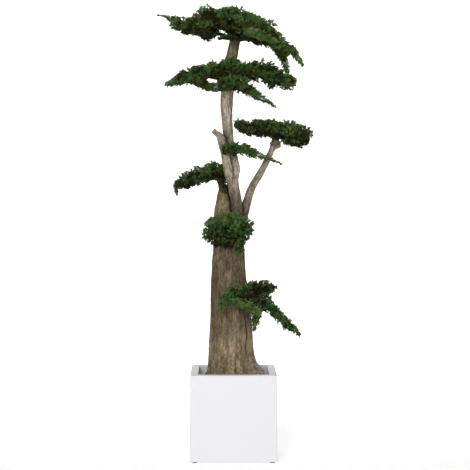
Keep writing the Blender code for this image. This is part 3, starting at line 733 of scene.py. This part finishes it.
# How pale and bare each limb is, and how dark it is painted with shade under the foliage and
# boughs: heights in metres, then the share at each
PALE = {
    "bole": ((0.4, 1.2), (0.0, 0.0)),
    "leader": (
        # From 1.30 to 1.37 m the leader is partly bare wood and partly a painted highlight
        (1.0, 1.22, 1.30, 1.37, 1.44, 1.5, 1.75, 1.85),
        (0.15, 0.4, 0.95, 0.95, 0.7, 0.9, 0.7, 0.1),
    ),
    "side_strand": ((1.2, 1.3, 1.5), (0.4, 0.55, 0.7)),
    "right_limb": ((1.05, 1.2, 1.35, 1.45, 1.47), (0.1, 0.4, 0.8, 0.8, 0.1)),
    "left_limb": ((1.2, 1.4), (0.0, 0.0)),
}
SHADE = {
    "bole": (
        (0.45, 0.54, 0.62, 0.76, 1.10, 1.20, 1.235, 1.27),
        (0.0, 0.04, 0.44, 0.60, 0.26, 0.16, 0.40, 0.80),
    ),
    "leader": (
        (1.10, 1.20, 1.27, 1.31, 1.36, 1.42, 1.48, 1.60, 1.80, 1.90, 1.94, 1.97),
        (0.78, 0.66, 0.30, 0.0, 0.0, 0.3, 0.2, 0.0, 0.2, 0.30, 0.65, 0.9),
    ),
    "side_strand": ((1.25, 1.35, 1.45, 1.50), (0.10, 0.12, 0.08, 0.0)),
    "right_limb": ((1.05, 1.20, 1.30, 1.455, 1.475), (0.60, 0.50, 0.20, 0.25, 0.50)),
    "left_limb": ((1.2, 1.4), (0.7, 0.8)),
}


def wear_and_shade_of(name, points, painted_shade):
    """How much shade is painted on the bark (in furrows and creases, between limbs and under the
    foliage), how pale and bare, and how mossy it is at each point.
    """
    z = points[:, 2]
    pale = np.interp(z, *PALE[name])
    if name == "bole":
        # The toe of the right root is worn grey
        right = np.interp(points[:, 0], (0.05, 0.12), (0, 1))
        pale = pale + 0.6 * np.interp(z, (0.40, 0.49), (1, 0)) * right
    # Shade painted by height, under the foliage and boughs
    painted_shade = np.maximum(painted_shade, 0) + np.interp(z, *SHADE[name]) * (1 - painted_shade)
    # A mossy patch on the leader, just under the crown
    patch = patch_noise(points, 0.022)
    moss = np.interp(z, (1.865, 1.880, 1.925, 1.955), (0.0, 1.0, 0.8, 0.0)) * (name == "leader")
    moss = moss * np.clip(0.6 + 1.6 * patch - 12 * (points[:, 0] + 0.008), 0, 0.85)
    return np.stack((painted_shade, pale, moss), axis=1)


def heal_attributes(obj):
    """Gives the corners that a union makes the grain and wear of a neighbour."""
    for key in ("grain", "wear_and_shade"):
        data = obj.data.attributes[key].data
        values = np.empty(len(data) * 3, np.float32)
        data.foreach_get("vector", values)
        values = values.reshape(-1, 3)
        bare = ~np.any(values, axis=1)
        for _ in range(3):
            for edge in obj.data.edges:
                a, b = edge.vertices
                if bare[a] and not bare[b]:
                    values[a], bare[a] = values[b], False
                elif bare[b] and not bare[a]:
                    values[b], bare[b] = values[a], False
        data.foreach_set("vector", values.ravel())


def united(limb_obj, others):
    """Joins other limbs to one, as one closed body."""
    for other in others:
        apply_modifier(limb_obj, "BOOLEAN", operation="UNION", solver="MANIFOLD", object=other)
        bpy.data.objects.remove(other)
    heal_attributes(limb_obj)
    return limb_obj


def trunk_and_boughs(material):
    upright = ((LEADER, 0.0), (SIDE_STRAND, 0.0), (RIGHT_BOUGH, 0.0))
    bole = limb("bole", BOLE, 210, 0.0038, 0.0020, upright)
    leader = limb("leader", LEADER, 64, 0.0032, 0.0016, ((BOLE, 0.0), (SIDE_STRAND, 1.37)))
    strand = limb("side_strand", SIDE_STRAND, 56, 0.0032, 0.0018, ((LEADER, 1.32),), 0.006)
    knob = limb("side_strand", STRAND_KNOB, 32, 0.0030, 0.0012, jagged=0.003)
    right = limb("right_limb", RIGHT_BOUGH, 56, 0.0032, 0.0016, ((LEADER, 0.0),))
    cut = (LEFT_STUB, RIGHT_KNOB)
    stubs = [limb("right_limb", rows, 36, 0.0026, 0.0014, jagged=0.002) for rows in cut]
    left = limb("left_limb", LEFT_BOUGH, 40, 0.0032, 0.0014, ((BOLE, 0.0),))
    for obj, name, node in (
        (united(bole, (leader, strand, knob)), "juniper_trunk", "trunk"),
        (united(right, stubs), "juniper_right_bough", "right_bough"),
        (left, "juniper_left_bough", "left_bough"),
    ):
        settle(obj, name, material)
        smooth(obj, 70)
        belongs(obj, node)


# Foliage

# How far a frond's rounded end reaches, as a share of its half thickness
END_CAP = 0.8
# Lobes, their tufts, and a tuft's sprays and leaves. Sizes are in metres and angles in radians, and
# a spray reaches out by a share of its tuft's radius
LOBE_SPACING = 0.056
LOBE_RADIUS = (0.028, 0.044)
TUFTS_ON_LOBE = 18
TUFT_SPACING = 0.021
TUFT_FAN = 2.0
TUFT_LOOSE = 0.12
TUFT_RADIUS = (0.0100, 0.0145)
SPRAYS = 5
SPRAY_REACH = 1.85
SPRAY_SPREAD = 0.24
LEAVES = 13
LEAF_LENGTH = (0.0060, 0.0115)
LEAF_WIDTH = 0.0034
LEAF_FOLD = 0.0008
INNER_LEAVES = 44
INNER_LENGTH = 0.016
INNER_WIDTH = 0.0075
HEART_SHADE = 1.9
THIN = 0.024
SPRIG_ROLL = 1.0
# How far apart sprigs stand, by the half thickness of their frond
SPRIGS_APART = (
    (0.006, 0.012, 0.020, 0.030, 0.040, 0.050),
    (0.0130, 0.0135, 0.0145, 0.0180, 0.034, 0.200),
)
# Radii of the twigs that carry lobes, tufts and sprigs
TWIG_RADII = (0.0022, 0.0012, 0.0010)
MOST_TRIANGLES = 190_000


def outline(rows, place, angle):
    """Points on a frond's outline and the way out from it, at places in metres along it.

    Past either end the outline closes in a rounded cap.
    """
    total = length_of(rows)
    inside = np.clip(place, 0.0, total)
    past = place - inside
    points, tangents, side, rise, size = frames(rows, inside / total)
    width, thickness = size[:, 0], size[:, 1]
    cap = END_CAP * thickness + 1e-6
    ratio = np.clip(np.abs(past) / cap, 0.0, 0.98)
    closed = np.sqrt(1 - ratio**2)
    c, s = np.cos(angle)[:, None], np.sin(angle)[:, None]
    w, t = (width * closed)[:, None], (thickness * closed)[:, None]
    out = side * c * w + rise * s * t
    way = unit(side * c / width[:, None] + rise * s / thickness[:, None])
    way = unit(way * closed[:, None] + tangents * (np.sign(past) * ratio)[:, None])
    return points + tangents * past[:, None] + out, way, thickness


def ellipse_angles(width, thickness, turns):
    """Angles round an ellipse at shares of its way round, measured on the outline itself."""
    table = np.linspace(0, TURN, 65)
    x = width[:, None] * np.cos(table)
    y = thickness[:, None] * np.sin(table)
    steps = np.hypot(np.diff(x, axis=1), np.diff(y, axis=1))
    run = np.concatenate((np.zeros((len(width), 1)), np.cumsum(steps, axis=1)), axis=1)
    run /= run[:, -1:]
    return np.array([np.interp(share, row, table) for share, row in zip(turns, run)])


def depth_in(rows, points):
    """How deep points lie in a frond: 0 on its line, 1 on its outline, more outside it."""
    line, tangents, side, rise, size = frames(rows, np.linspace(0, 1, 60))
    apart = points[:, None] - line[None]
    nearest = np.argmin((apart**2).sum(2), axis=1)
    off = apart[np.arange(len(points)), nearest]
    tangents, side, rise, size = tangents[nearest], side[nearest], rise[nearest], size[nearest]
    ahead = (off * tangents).sum(1)
    across = (off * side).sum(1) / size[:, 0]
    up = (off * rise).sum(1) / size[:, 1]
    return np.sqrt(across**2 + up**2 + (ahead / (END_CAP * size[:, 1])) ** 2)


def fan_of(way, rng):
    """The ways of a lobe's tufts, spread over a cap round its own way by the golden angle."""
    helper = np.where(np.abs(way[:, 2:3]) < 0.8, (0.0, 0.0, 1.0), (1.0, 0.0, 0.0))
    across = unit(np.cross(way, helper))
    over = np.cross(way, across)
    k = np.arange(TUFTS_ON_LOBE)
    tilt = np.arccos(1 - (1 - math.cos(TUFT_FAN)) * (k + 0.5) / TUFTS_ON_LOBE)
    tilt = tilt[None] + rng.uniform(-TUFT_LOOSE, TUFT_LOOSE, (len(way), TUFTS_ON_LOBE))
    turn = k[None] * GOLDEN_ANGLE + rng.uniform(0, TURN, (len(way), 1))
    ring = across[:, None] * np.cos(turn)[..., None] + over[:, None] * np.sin(turn)[..., None]
    return way[:, None] * np.cos(tilt)[..., None] + ring * np.sin(tilt)[..., None]


def patch_noise(points, size):
    return np.array([noise.noise(p) for p in (points / size).tolist()])


def spread(rows, rng, spacing, least):
    """Places along a frond and angles round it, spread by the golden angle over its outline.

    Returns them with the half width and half thickness there. The spacing may vary along it.
    """
    total = length_of(rows)
    shares = np.linspace(0, 1, 200)
    width, thickness = along(rows, shares)[:, 3:].T
    both = width + thickness
    girth = math.pi * (3 * both - np.sqrt((both + 2 * width) * (both + 2 * thickness)))
    density = girth / spacing(thickness) ** 2
    run = np.concatenate(([-0.75 * thickness[0]], shares * total, [total + 0.75 * thickness[-1]]))
    density = np.concatenate(([density[0] * 0.3], density, [density[-1] * 0.3]))
    number = np.concatenate(([0], np.cumsum((density[1:] + density[:-1]) / 2 * np.diff(run))))
    count = max(least, round(number[-1]))
    i = np.arange(count)
    place = np.interp((i + rng.uniform(0.2, 0.8, count)) / count * number[-1], number, run)
    size = along(rows, place / total)[:, 3:]
    turns = (i * GOLDEN_ANGLE / TURN + rng.uniform(-0.03, 0.03, count)) % 1.0
    return place, ellipse_angles(size[:, 0], size[:, 1], turns), size


def lobes_of(rows, painted_light, close, rng, others, source):
    """The rounded lobes of a frond.

    Returns their middles, ways out, radii, roots on its line, the way that they grow (ahead along
    the frond where it is slender, and away from the source of its mass where it is full), and how
    much painted light or shade their greens take.
    """
    place, angle, size = spread(
        rows, rng, lambda t: close * np.minimum(LOBE_SPACING, 0.010 + 0.9 * t), 8
    )
    edge, way, thickness = outline(rows, place, angle)
    radius = np.minimum(rng.uniform(*LOBE_RADIUS, len(place)), 0.8 * thickness + 0.002)
    # Lobes sink and stand out by patches 50 mm wide, so that the mass has hollows and humps
    sunk = 0.36 * thickness * patch_noise(edge, 0.050) + rng.uniform(-0.005, 0.006, len(place))
    sunk = np.clip(sunk, -0.008, 0.5 * thickness)
    middle = edge - way * (radius + sunk + 0.006)[:, None]
    keep = thickness > THIN
    for other in others:
        keep &= depth_in(other, middle) > 0.70
    lean = 0.012 + 0.35 * size[:, 0]
    total = length_of(rows)
    root = frames(rows, np.clip((place - lean) / total, 0, 1))[0]
    ahead = frames(rows, np.clip(place / total, 0, 1))[1]
    along_it = np.clip((0.050 - thickness) / 0.030, 0, 1)[:, None]
    ahead = unit(ahead * along_it + unit(middle - source) * (1.05 - along_it))
    painted_light_of_lobes = np.full(len(place), painted_light)
    return [k[keep] for k in (middle, way, radius, root, ahead, painted_light_of_lobes)]


def sprigs_of(rows, painted_light, close, rng, others):
    """Slender sprays that lean forward from inside a frond to its outline, closer where it is thin.

    Returns their roots, tips, ways out and how light each one's place is.
    """
    total = length_of(rows)
    place, angle, size = spread(rows, rng, lambda t: close * np.interp(t, *SPRIGS_APART), 6)
    edge = outline(rows, place, angle)[0]
    line = frames(rows, np.clip(place / total, 0, 1))[0]
    # Most end at the outline and a few inside it, and they start 14 to 22 mm deeper
    edge = line + (edge - line) * (1 - 0.5 * rng.uniform(0, 1, len(place))[:, None] ** 3)
    deep = lengths(edge - line)
    share = np.maximum(0.1, 1 - rng.uniform(0.014, 0.022, len(place)) / deep)
    base = line + (edge - line) * share[:, None]
    ahead = rng.uniform(0.003, 0.016, len(place)) + 0.16 * np.minimum(size[:, 0], 0.06)
    end = total + 0.7 * rows[-1][4]
    far, way, _ = outline(rows, np.minimum(place + ahead, end), angle)
    core = frames(rows, np.clip((place + ahead) / total, 0, 1))[0]
    depth = lengths(edge - line) / np.maximum(lengths(far - core), 1e-6)
    tip = core + (far - core) * np.clip(depth, 0.3, 1.0)[:, None]
    tip = tip + way * rng.uniform(-0.005, 0.004, len(place))[:, None]
    tip = tip + rng.normal(size=tip.shape) * 0.12 * (tip - base).std()
    keep = clear_of_limbs(tip, 0.003) & clear_of_limbs(base, 0.002)
    for other in others:
        keep &= depth_in(other, tip) > 0.80
    over = way + SPRIG_ROLL * rng.normal(size=way.shape)
    return base[keep], tip[keep], over[keep], way[keep, 2] + painted_light


def clear_of_limbs(points, margin):
    clear = np.ones(len(points), bool)
    for rows in (BOLE, LEADER, SIDE_STRAND, RIGHT_BOUGH, LEFT_BOUGH):
        clear &= limb_distance(rows, points) > margin
    return clear


def tufts_of(lobes, rng):
    """The small tufts that cover each lobe, where they stand free of other lobes and limbs.

    Returns their middles, ways out, radii, roots, how light each one's place is (more on top of a
    lobe and of the mass, less underneath and in the creases between lobes), and the way it grows.
    """
    middle, way, radius, _, ahead, painted_light = lobes
    ways = fan_of(way, rng)
    size = rng.uniform(*TUFT_RADIUS, ways.shape[:2])
    size = np.minimum(size, radius[:, None] * 0.75)
    out = radius[:, None] - 0.7 * size + rng.uniform(-0.006, 0.003, size.shape)
    place = middle[:, None] + ways * np.maximum(out, 0.2 * size)[..., None]
    keep = np.ones(size.shape, bool)
    beside = np.full(size.shape, 1.0)
    for k in range(len(middle)):
        apart = lengths(place - middle[k]) - radius[k]
        apart[k] = 1.0
        keep &= apart > -0.28 * radius[k]
        beside = np.minimum(beside, apart)
    # A small lobe has room for fewer tufts
    room = (5.0 * radius**2)[:, None]
    shown = keep & (np.arange(TUFTS_ON_LOBE)[None] * TUFT_SPACING**2 < room)
    crease = np.clip(1 - (beside + 0.010) / 0.022, 0.0, 1.0)
    light = ways[..., 2] + 0.9 * np.minimum(way[:, None, 2], 0.2) - 1.5 * crease
    light += painted_light[:, None]
    root, ahead = (np.broadcast_to(k[:, None], place.shape) for k in (middle, ahead))
    found = [k[shown] for k in (place, ways, size, root, light, ahead)]
    clear = clear_of_limbs(found[0], 0.0045)
    return [k[clear] for k in found]


def hearts_of(lobes, rng):
    """The shaded inner leaves of each lobe, which close it to the sky.

    Returns their roots, tips, ways out and how light each one's place is.
    """
    middle, out, radius = lobes[:3]
    ways = unit(rng.normal(size=(len(middle), INNER_LEAVES, 3)))
    deep = radius[:, None, None] * rng.uniform(0.25, 0.72, (len(middle), INNER_LEAVES, 1))
    at = (middle[:, None] + ways * deep).reshape(-1, 3)
    lean = unit(np.cross(ways.reshape(-1, 3), rng.normal(size=at.shape)))
    length = np.minimum(INNER_LENGTH, 0.7 * np.repeat(radius, INNER_LEAVES))[:, None]
    light = np.repeat(0.9 * out[:, 2] + lobes[5] - HEART_SHADE, INNER_LEAVES)
    clear = clear_of_limbs(at, 0.010)
    half = lean * length / 2
    return [k[clear] for k in (at - half, at + half, ways.reshape(-1, 3), light)]


def folded_leaves(base, tip, side, width):
    """Leaves as closed folded slivers of four faces: root, tip, and two edges a little raised."""
    ahead = tip - base
    across = unit(np.cross(ahead, side))
    over = unit(np.cross(across, ahead))
    middle = base + 0.5 * ahead + over * LEAF_FOLD
    half = across * (width / 2)[:, None]
    points = np.stack((base, tip, middle + half, middle - half), axis=1)
    return points, np.array([(0, 1, 2), (1, 0, 3), (0, 2, 3), (1, 3, 2)])


def spindles(base, tip, radius, side):
    """Slender closed twigs: three corners round each one's middle, and a point at both ends."""
    ahead = unit(tip - base)
    across = unit(np.cross(ahead, side))
    over = np.cross(ahead, across)
    middle = base + 0.42 * (tip - base)
    ring = [
        middle + (across * math.cos(a) + over * math.sin(a)) * radius[:, None]
        for a in (0.0, TURN / 3, 2 * TURN / 3)
    ]
    points = np.stack((base, tip, *ring), axis=1)
    return points, np.array([(0, 3, 2), (0, 4, 3), (0, 2, 4), (1, 2, 3), (1, 3, 4), (1, 4, 2)])


def greens_of(middle, light, rng):
    """Which green each spray takes: patches a hand wide, lighter where its place is light.

    The greens turn from cool to warm in patches too, and are warmer higher up, in the deepest
    shade and in the strongest light.
    """
    tint = 3.2 + 0.8 * patch_noise(middle, 0.080) + 1.1 * patch_noise(middle, 0.030)
    tint += 1.3 * light + rng.uniform(-0.5, 0.5, len(middle))
    warmth = 1.3 * patch_noise(middle + 7.0, 0.060) + 0.5 * patch_noise(middle + 3.0, 0.022)
    warmth += np.interp(middle[:, 2], (1.0, 1.4, 1.9, 2.05), (-0.30, -0.20, -0.10, 0.05))
    warmth += rng.uniform(-0.10, 0.10, len(middle)) + 0.18 * np.abs(light) + 0.3 * (light > 1.2)
    shade = np.clip(np.round(tint), 0, SHADES - 1).astype(int)
    return shade + SHADES * (warmth > 0)


def feathers(base, tip, over, rng):
    """The leaves of flat sprays from root to tip: left and right in turn, shorter towards the tip.

    over is the way that a spray's upper side faces.
    """
    ahead = unit(tip - base)
    over = unit(over - ahead * (over * ahead).sum(1, keepdims=True))
    across = np.cross(over, ahead)
    size = lengths(tip - base)[:, None, None]
    k = np.arange(LEAVES)
    share = np.linspace(0.10, 0.80, LEAVES)
    turn = np.where(k % 2, 1.0, -1.0) * np.linspace(0.95, 0.50, LEAVES)
    turn[-1] = 0.0
    turn = turn[None] + rng.uniform(-0.2, 0.2, (len(base), LEAVES))
    start = base[:, None] + (tip - base)[:, None] * share[None, :, None]
    along_it = ahead[:, None] * np.cos(turn)[..., None] + across[:, None] * np.sin(turn)[..., None]
    along_it = along_it + over[:, None] * rng.uniform(-0.25, 0.25, turn.shape)[..., None]
    longest = np.clip(0.42 * size, *LEAF_LENGTH)
    length = longest * np.linspace(1.0, 0.65, LEAVES)[None, :, None]
    length = length * rng.uniform(0.8, 1.15, (len(base), LEAVES, 1))
    end = start + along_it * length
    up = np.broadcast_to(over[:, None], end.shape) + rng.normal(size=end.shape) * 0.2
    width = LEAF_WIDTH * rng.uniform(0.85, 1.15, end.shape[0] * LEAVES)
    return folded_leaves(start.reshape(-1, 3), end.reshape(-1, 3), up.reshape(-1, 3), width)


def sprays_of(tufts, rng):
    """The sprays of every tuft, leaning ahead: their roots, tips, upper sides and greens."""
    middle, way, radius, _, light, ahead = tufts
    shape = (len(middle), SPRAYS, 1)
    rise = np.interp(way[:, 2], (-0.7, 0.0, 1.0), (0.25, 0.60, 0.35))[:, None, None]
    outward = np.clip((ahead * way).sum(1), 0, 1)[:, None, None]
    loose = SPRAY_SPREAD + 0.55 * outward
    lean = 0.75 * (1 - 0.8 * outward) * ahead[:, None] + rise * way[:, None]
    lean = unit(lean + loose * rng.normal(size=(*shape[:2], 3)))
    reach = SPRAY_REACH * radius[:, None, None] * rng.uniform(0.8, 1.2, shape) * (1 - 0.2 * outward)
    base = middle[:, None] - lean * reach * 0.30 + way[:, None] * rng.uniform(-0.003, 0.002, shape)
    tip = base + lean * reach
    over = way[:, None] + 0.35 * rng.normal(size=tip.shape)
    greens = greens_of(tip.reshape(-1, 3), np.repeat(light, SPRAYS), rng)
    return base.reshape(-1, 3), tip.reshape(-1, 3), over.reshape(-1, 3), greens


def tube(rows, sides):
    """A tapering closed twig along rows of points and radii, with a point at both ends."""
    count = max(3, round(length_of(rows) / 0.012))
    points, tangents, side, rise, size = frames(rows, np.linspace(0, 1, count))
    angle = np.arange(sides)[:, None] / sides * TURN
    ring = side[:, None] * np.cos(angle) + rise[:, None] * np.sin(angle)
    body = (points[:, None] + ring * size[:, :, None]).reshape(-1, 3)
    ends = np.stack((points[0] - tangents[0] * size[0], points[-1] + tangents[-1] * size[-1]))
    k = np.arange(sides)
    after = (k + 1) % sides
    faces = [(0 * k + count * sides, after, k)]
    for a in range(0, (count - 1) * sides, sides):
        b = a + sides
        faces += [(a + k, a + after, b + after), (a + k, b + after, b + k)]
    faces.append((0 * k + count * sides + 1, b + k, b + after))
    return np.concatenate((body, ends))[None], np.concatenate([np.stack(f, 1) for f in faces])


def branches(fronds, stem):
    """The boughs inside a mass: its stem, and one under the middle of each frond out to its tip."""
    made = [tube(stem, 8)]
    for rows, *_ in fronds:
        shares = np.linspace(0.04, 0.97, 14)
        points, _, _, rise, size = frames(rows, shares)
        low = points - rise * size[:, 1:] * 0.30 * np.sign(rise[:, 2:])
        radius = np.linspace(1.0, 0.2, len(shares)) * min(0.0075, 0.2 * max(r[4] for r in rows))
        made.append(tube(np.column_stack((low, radius)), 7))
    return made


def joined(name, node, parts, materials):
    """Many small closed shapes as one piece. Each part is points, faces and finishes."""
    corners, triangles, dealt = [], [], []
    before = 0
    for points, faces, finishes in parts:
        starts = before + np.arange(len(points))[:, None, None] * points.shape[1]
        triangles.append((faces[None] + starts).reshape(-1, 3))
        corners.append(points.reshape(-1, 3))
        dealt.append(np.repeat(finishes, len(faces)))
        before += points.shape[0] * points.shape[1]
    corners, triangles, dealt = (np.concatenate(k) for k in (corners, triangles, dealt))
    mesh = bpy.data.meshes.new(name)
    mesh.vertices.add(len(corners))
    mesh.vertices.foreach_set("co", corners.astype(np.float32).ravel())
    mesh.loops.add(triangles.size)
    mesh.loops.foreach_set("vertex_index", triangles.astype(np.int32).ravel())
    mesh.polygons.add(len(triangles))
    mesh.polygons.foreach_set("loop_start", np.arange(0, triangles.size, 3, dtype=np.int32))
    mesh.polygons.foreach_set("material_index", dealt.astype(np.int32))
    mesh.update(calc_edges=True)
    for material in materials:
        mesh.materials.append(material)
    piece = bpy.data.objects.new(name, mesh)
    bpy.context.scene.collection.objects.link(piece)
    belongs(piece, node)


def foliage(name, fronds, stem, others, greens, bark, seed):
    """One mass: its boughs and twigs, and its leaves in pieces of a size that exports whole."""
    rng = np.random.default_rng(seed)
    source = np.array(stem[0][:3])
    own = [rows for rows, *_ in fronds]
    beside = [others + own[:k] for k in range(len(own))]
    lobes = [lobes_of(*one, rng, near, source) for one, near in zip(fronds, beside)]
    lobes = [np.concatenate(columns) for columns in zip(*lobes)]
    tufts = tufts_of(lobes, rng)
    # The sprays of the tufts, the sprigs between them, and the shaded leaves at the heart
    base, tip, over, dealt = sprays_of(tufts, rng)
    sprigs = [sprigs_of(*one, rng, near) for one, near in zip(fronds, beside)]
    root, end, way, light = [np.concatenate(columns) for columns in zip(*sprigs)]
    sprig_greens = greens_of(end, light, rng)
    base, tip, over = (np.concatenate(pair) for pair in ((base, root), (tip, end), (over, way)))
    points, faces = feathers(base, tip, over, rng)
    inner_root, inner_tip, out, shade = hearts_of(lobes, rng)
    inner, _ = folded_leaves(inner_root, inner_tip, out, np.full(len(inner_root), INNER_WIDTH))
    points = np.concatenate((points, inner))
    dealt = np.repeat(np.concatenate((dealt, sprig_greens)), LEAVES)
    dealt = np.concatenate((dealt, greens_of(inner_root, shade, rng)))
    groups = math.ceil(len(points) * len(faces) / MOST_TRIANGLES)
    for k, group in enumerate(np.array_split(np.arange(len(points)), groups)):
        part = [(points[group], faces, dealt[group])]
        joined(f"{name}_leaves_{k + 1}", name, part, greens)
    # A twig to each lobe, tuft and sprig, and the boughs inside the mass
    starts = (lobes[3], tufts[3], root)
    size = np.concatenate([np.full(len(k), t) for k, t in zip(starts, TWIG_RADII)])
    starts = np.concatenate(starts)
    ends = np.concatenate((lobes[0], tufts[0], end))
    corners, sides = spindles(starts, ends, size, rng.normal(size=starts.shape))
    twigs = [(corners, sides, np.zeros(len(corners), int))]
    twigs += [(body, sides, np.zeros(1, int)) for body, sides in branches(fronds, stem)]
    joined(f"{name}_twigs", name, twigs, [bark])


def all_foliage(greens, bark):
    grown = []
    for seed, (name, (fronds, stem)) in enumerate(MASSES.items()):
        foliage(name, fronds, stem, grown, greens, bark, seed)
        grown = grown + [rows for rows, *_ in fronds]


# Stage, soft light and the photograph's camera

# The camera, in metres, and its lens in millimetres, from the planter's edges in the photograph
CAMERA_PLACE = (-0.035, -6.4, 1.236)
CAMERA_TILT = math.radians(1.711)
CAMERA_PAN = math.radians(0.380)
FOCAL_LENGTH = 103.9
# Soft lamps: name, place, the point each faces, its width and height, and its power in watts
LAMPS = (
    ("key", (-1.2, -5.8, 2.8), (0, 0, 1.1), (2.2, 2.2), 191),
    ("fill", (3.0, -5.4, 2.8), (0, 0, 0.9), (3.0, 2.4), 72),
    ("backdrop", (0, 2.2, 5.4), (0, 7.0, 3.2), (8.0, 2.0), 330),
)


def studio():
    """Floor and backdrop in one sweep of paper."""
    alone()
    bpy.ops.mesh.primitive_plane_add(size=1, location=(0, -1, 0))
    sweep = settle(bpy.context.object, "studio_sweep")
    mode("EDIT")
    bpy.ops.mesh.select_mode(type="EDGE")
    bpy.ops.mesh.select_all(action="SELECT")
    bpy.ops.transform.resize(value=(24, 16, 1))
    edges_where(sweep, lambda p: p.y > 6.9)
    bpy.ops.mesh.extrude_region_move(TRANSFORM_OT_translate={"value": (0, 0, 9)})
    edges_where(sweep, lambda p: p.y > 6.9 and p.z < 0.1)
    bpy.ops.mesh.bevel(offset=2.0, segments=16, profile=0.5)
    mode("OBJECT")
    sweep.data.shade_smooth()
    paper, _, shader = finish("white_backdrop_paper", "#FEFEFE", 0.95, Specular_IOR_Level=0.1)
    # Lit from behind too, so that it shows pure white
    shader.inputs["Emission Color"].default_value = linear("#FFFFFF")
    shader.inputs["Emission Strength"].default_value = 0.30
    sweep.data.materials.append(paper)


def lights():
    for name, place, aim, size, power in LAMPS:
        light = bpy.data.lights.new(name, "AREA")
        light.shape = "RECTANGLE"
        light.size, light.size_y = size
        light.energy = power
        lamp = bpy.data.objects.new(name, light)
        lamp.location = place
        lamp.rotation_euler = (Vector(aim) - Vector(place)).to_track_quat("-Z", "Y").to_euler()
        bpy.context.scene.collection.objects.link(lamp)
    world = bpy.data.worlds.new("studio_world")
    world.use_nodes = True
    background = world.node_tree.nodes["Background"]
    background.inputs["Color"].default_value = linear("#FFFFFF")
    background.inputs["Strength"].default_value = 0.25
    bpy.context.scene.world = world
    bpy.context.scene.view_settings.view_transform = "Standard"


def camera():
    lens = bpy.data.cameras.new("camera")
    lens.lens = FOCAL_LENGTH
    lens.sensor_width = 36
    lens.clip_end = 60
    made = bpy.data.objects.new("camera", lens)
    made.location = CAMERA_PLACE
    made.rotation_euler = (math.pi / 2 - CAMERA_TILT, 0, -CAMERA_PAN)
    bpy.context.scene.collection.objects.link(made)
    bpy.context.scene.camera = made


def main():
    planter(white_gel_coat())
    glides(grey_glide())
    soil(dark_soil())
    trunk_and_boughs(juniper_bark())
    all_foliage(leaf_greens(), twig_bark())
    studio()
    lights()
    camera()


main()
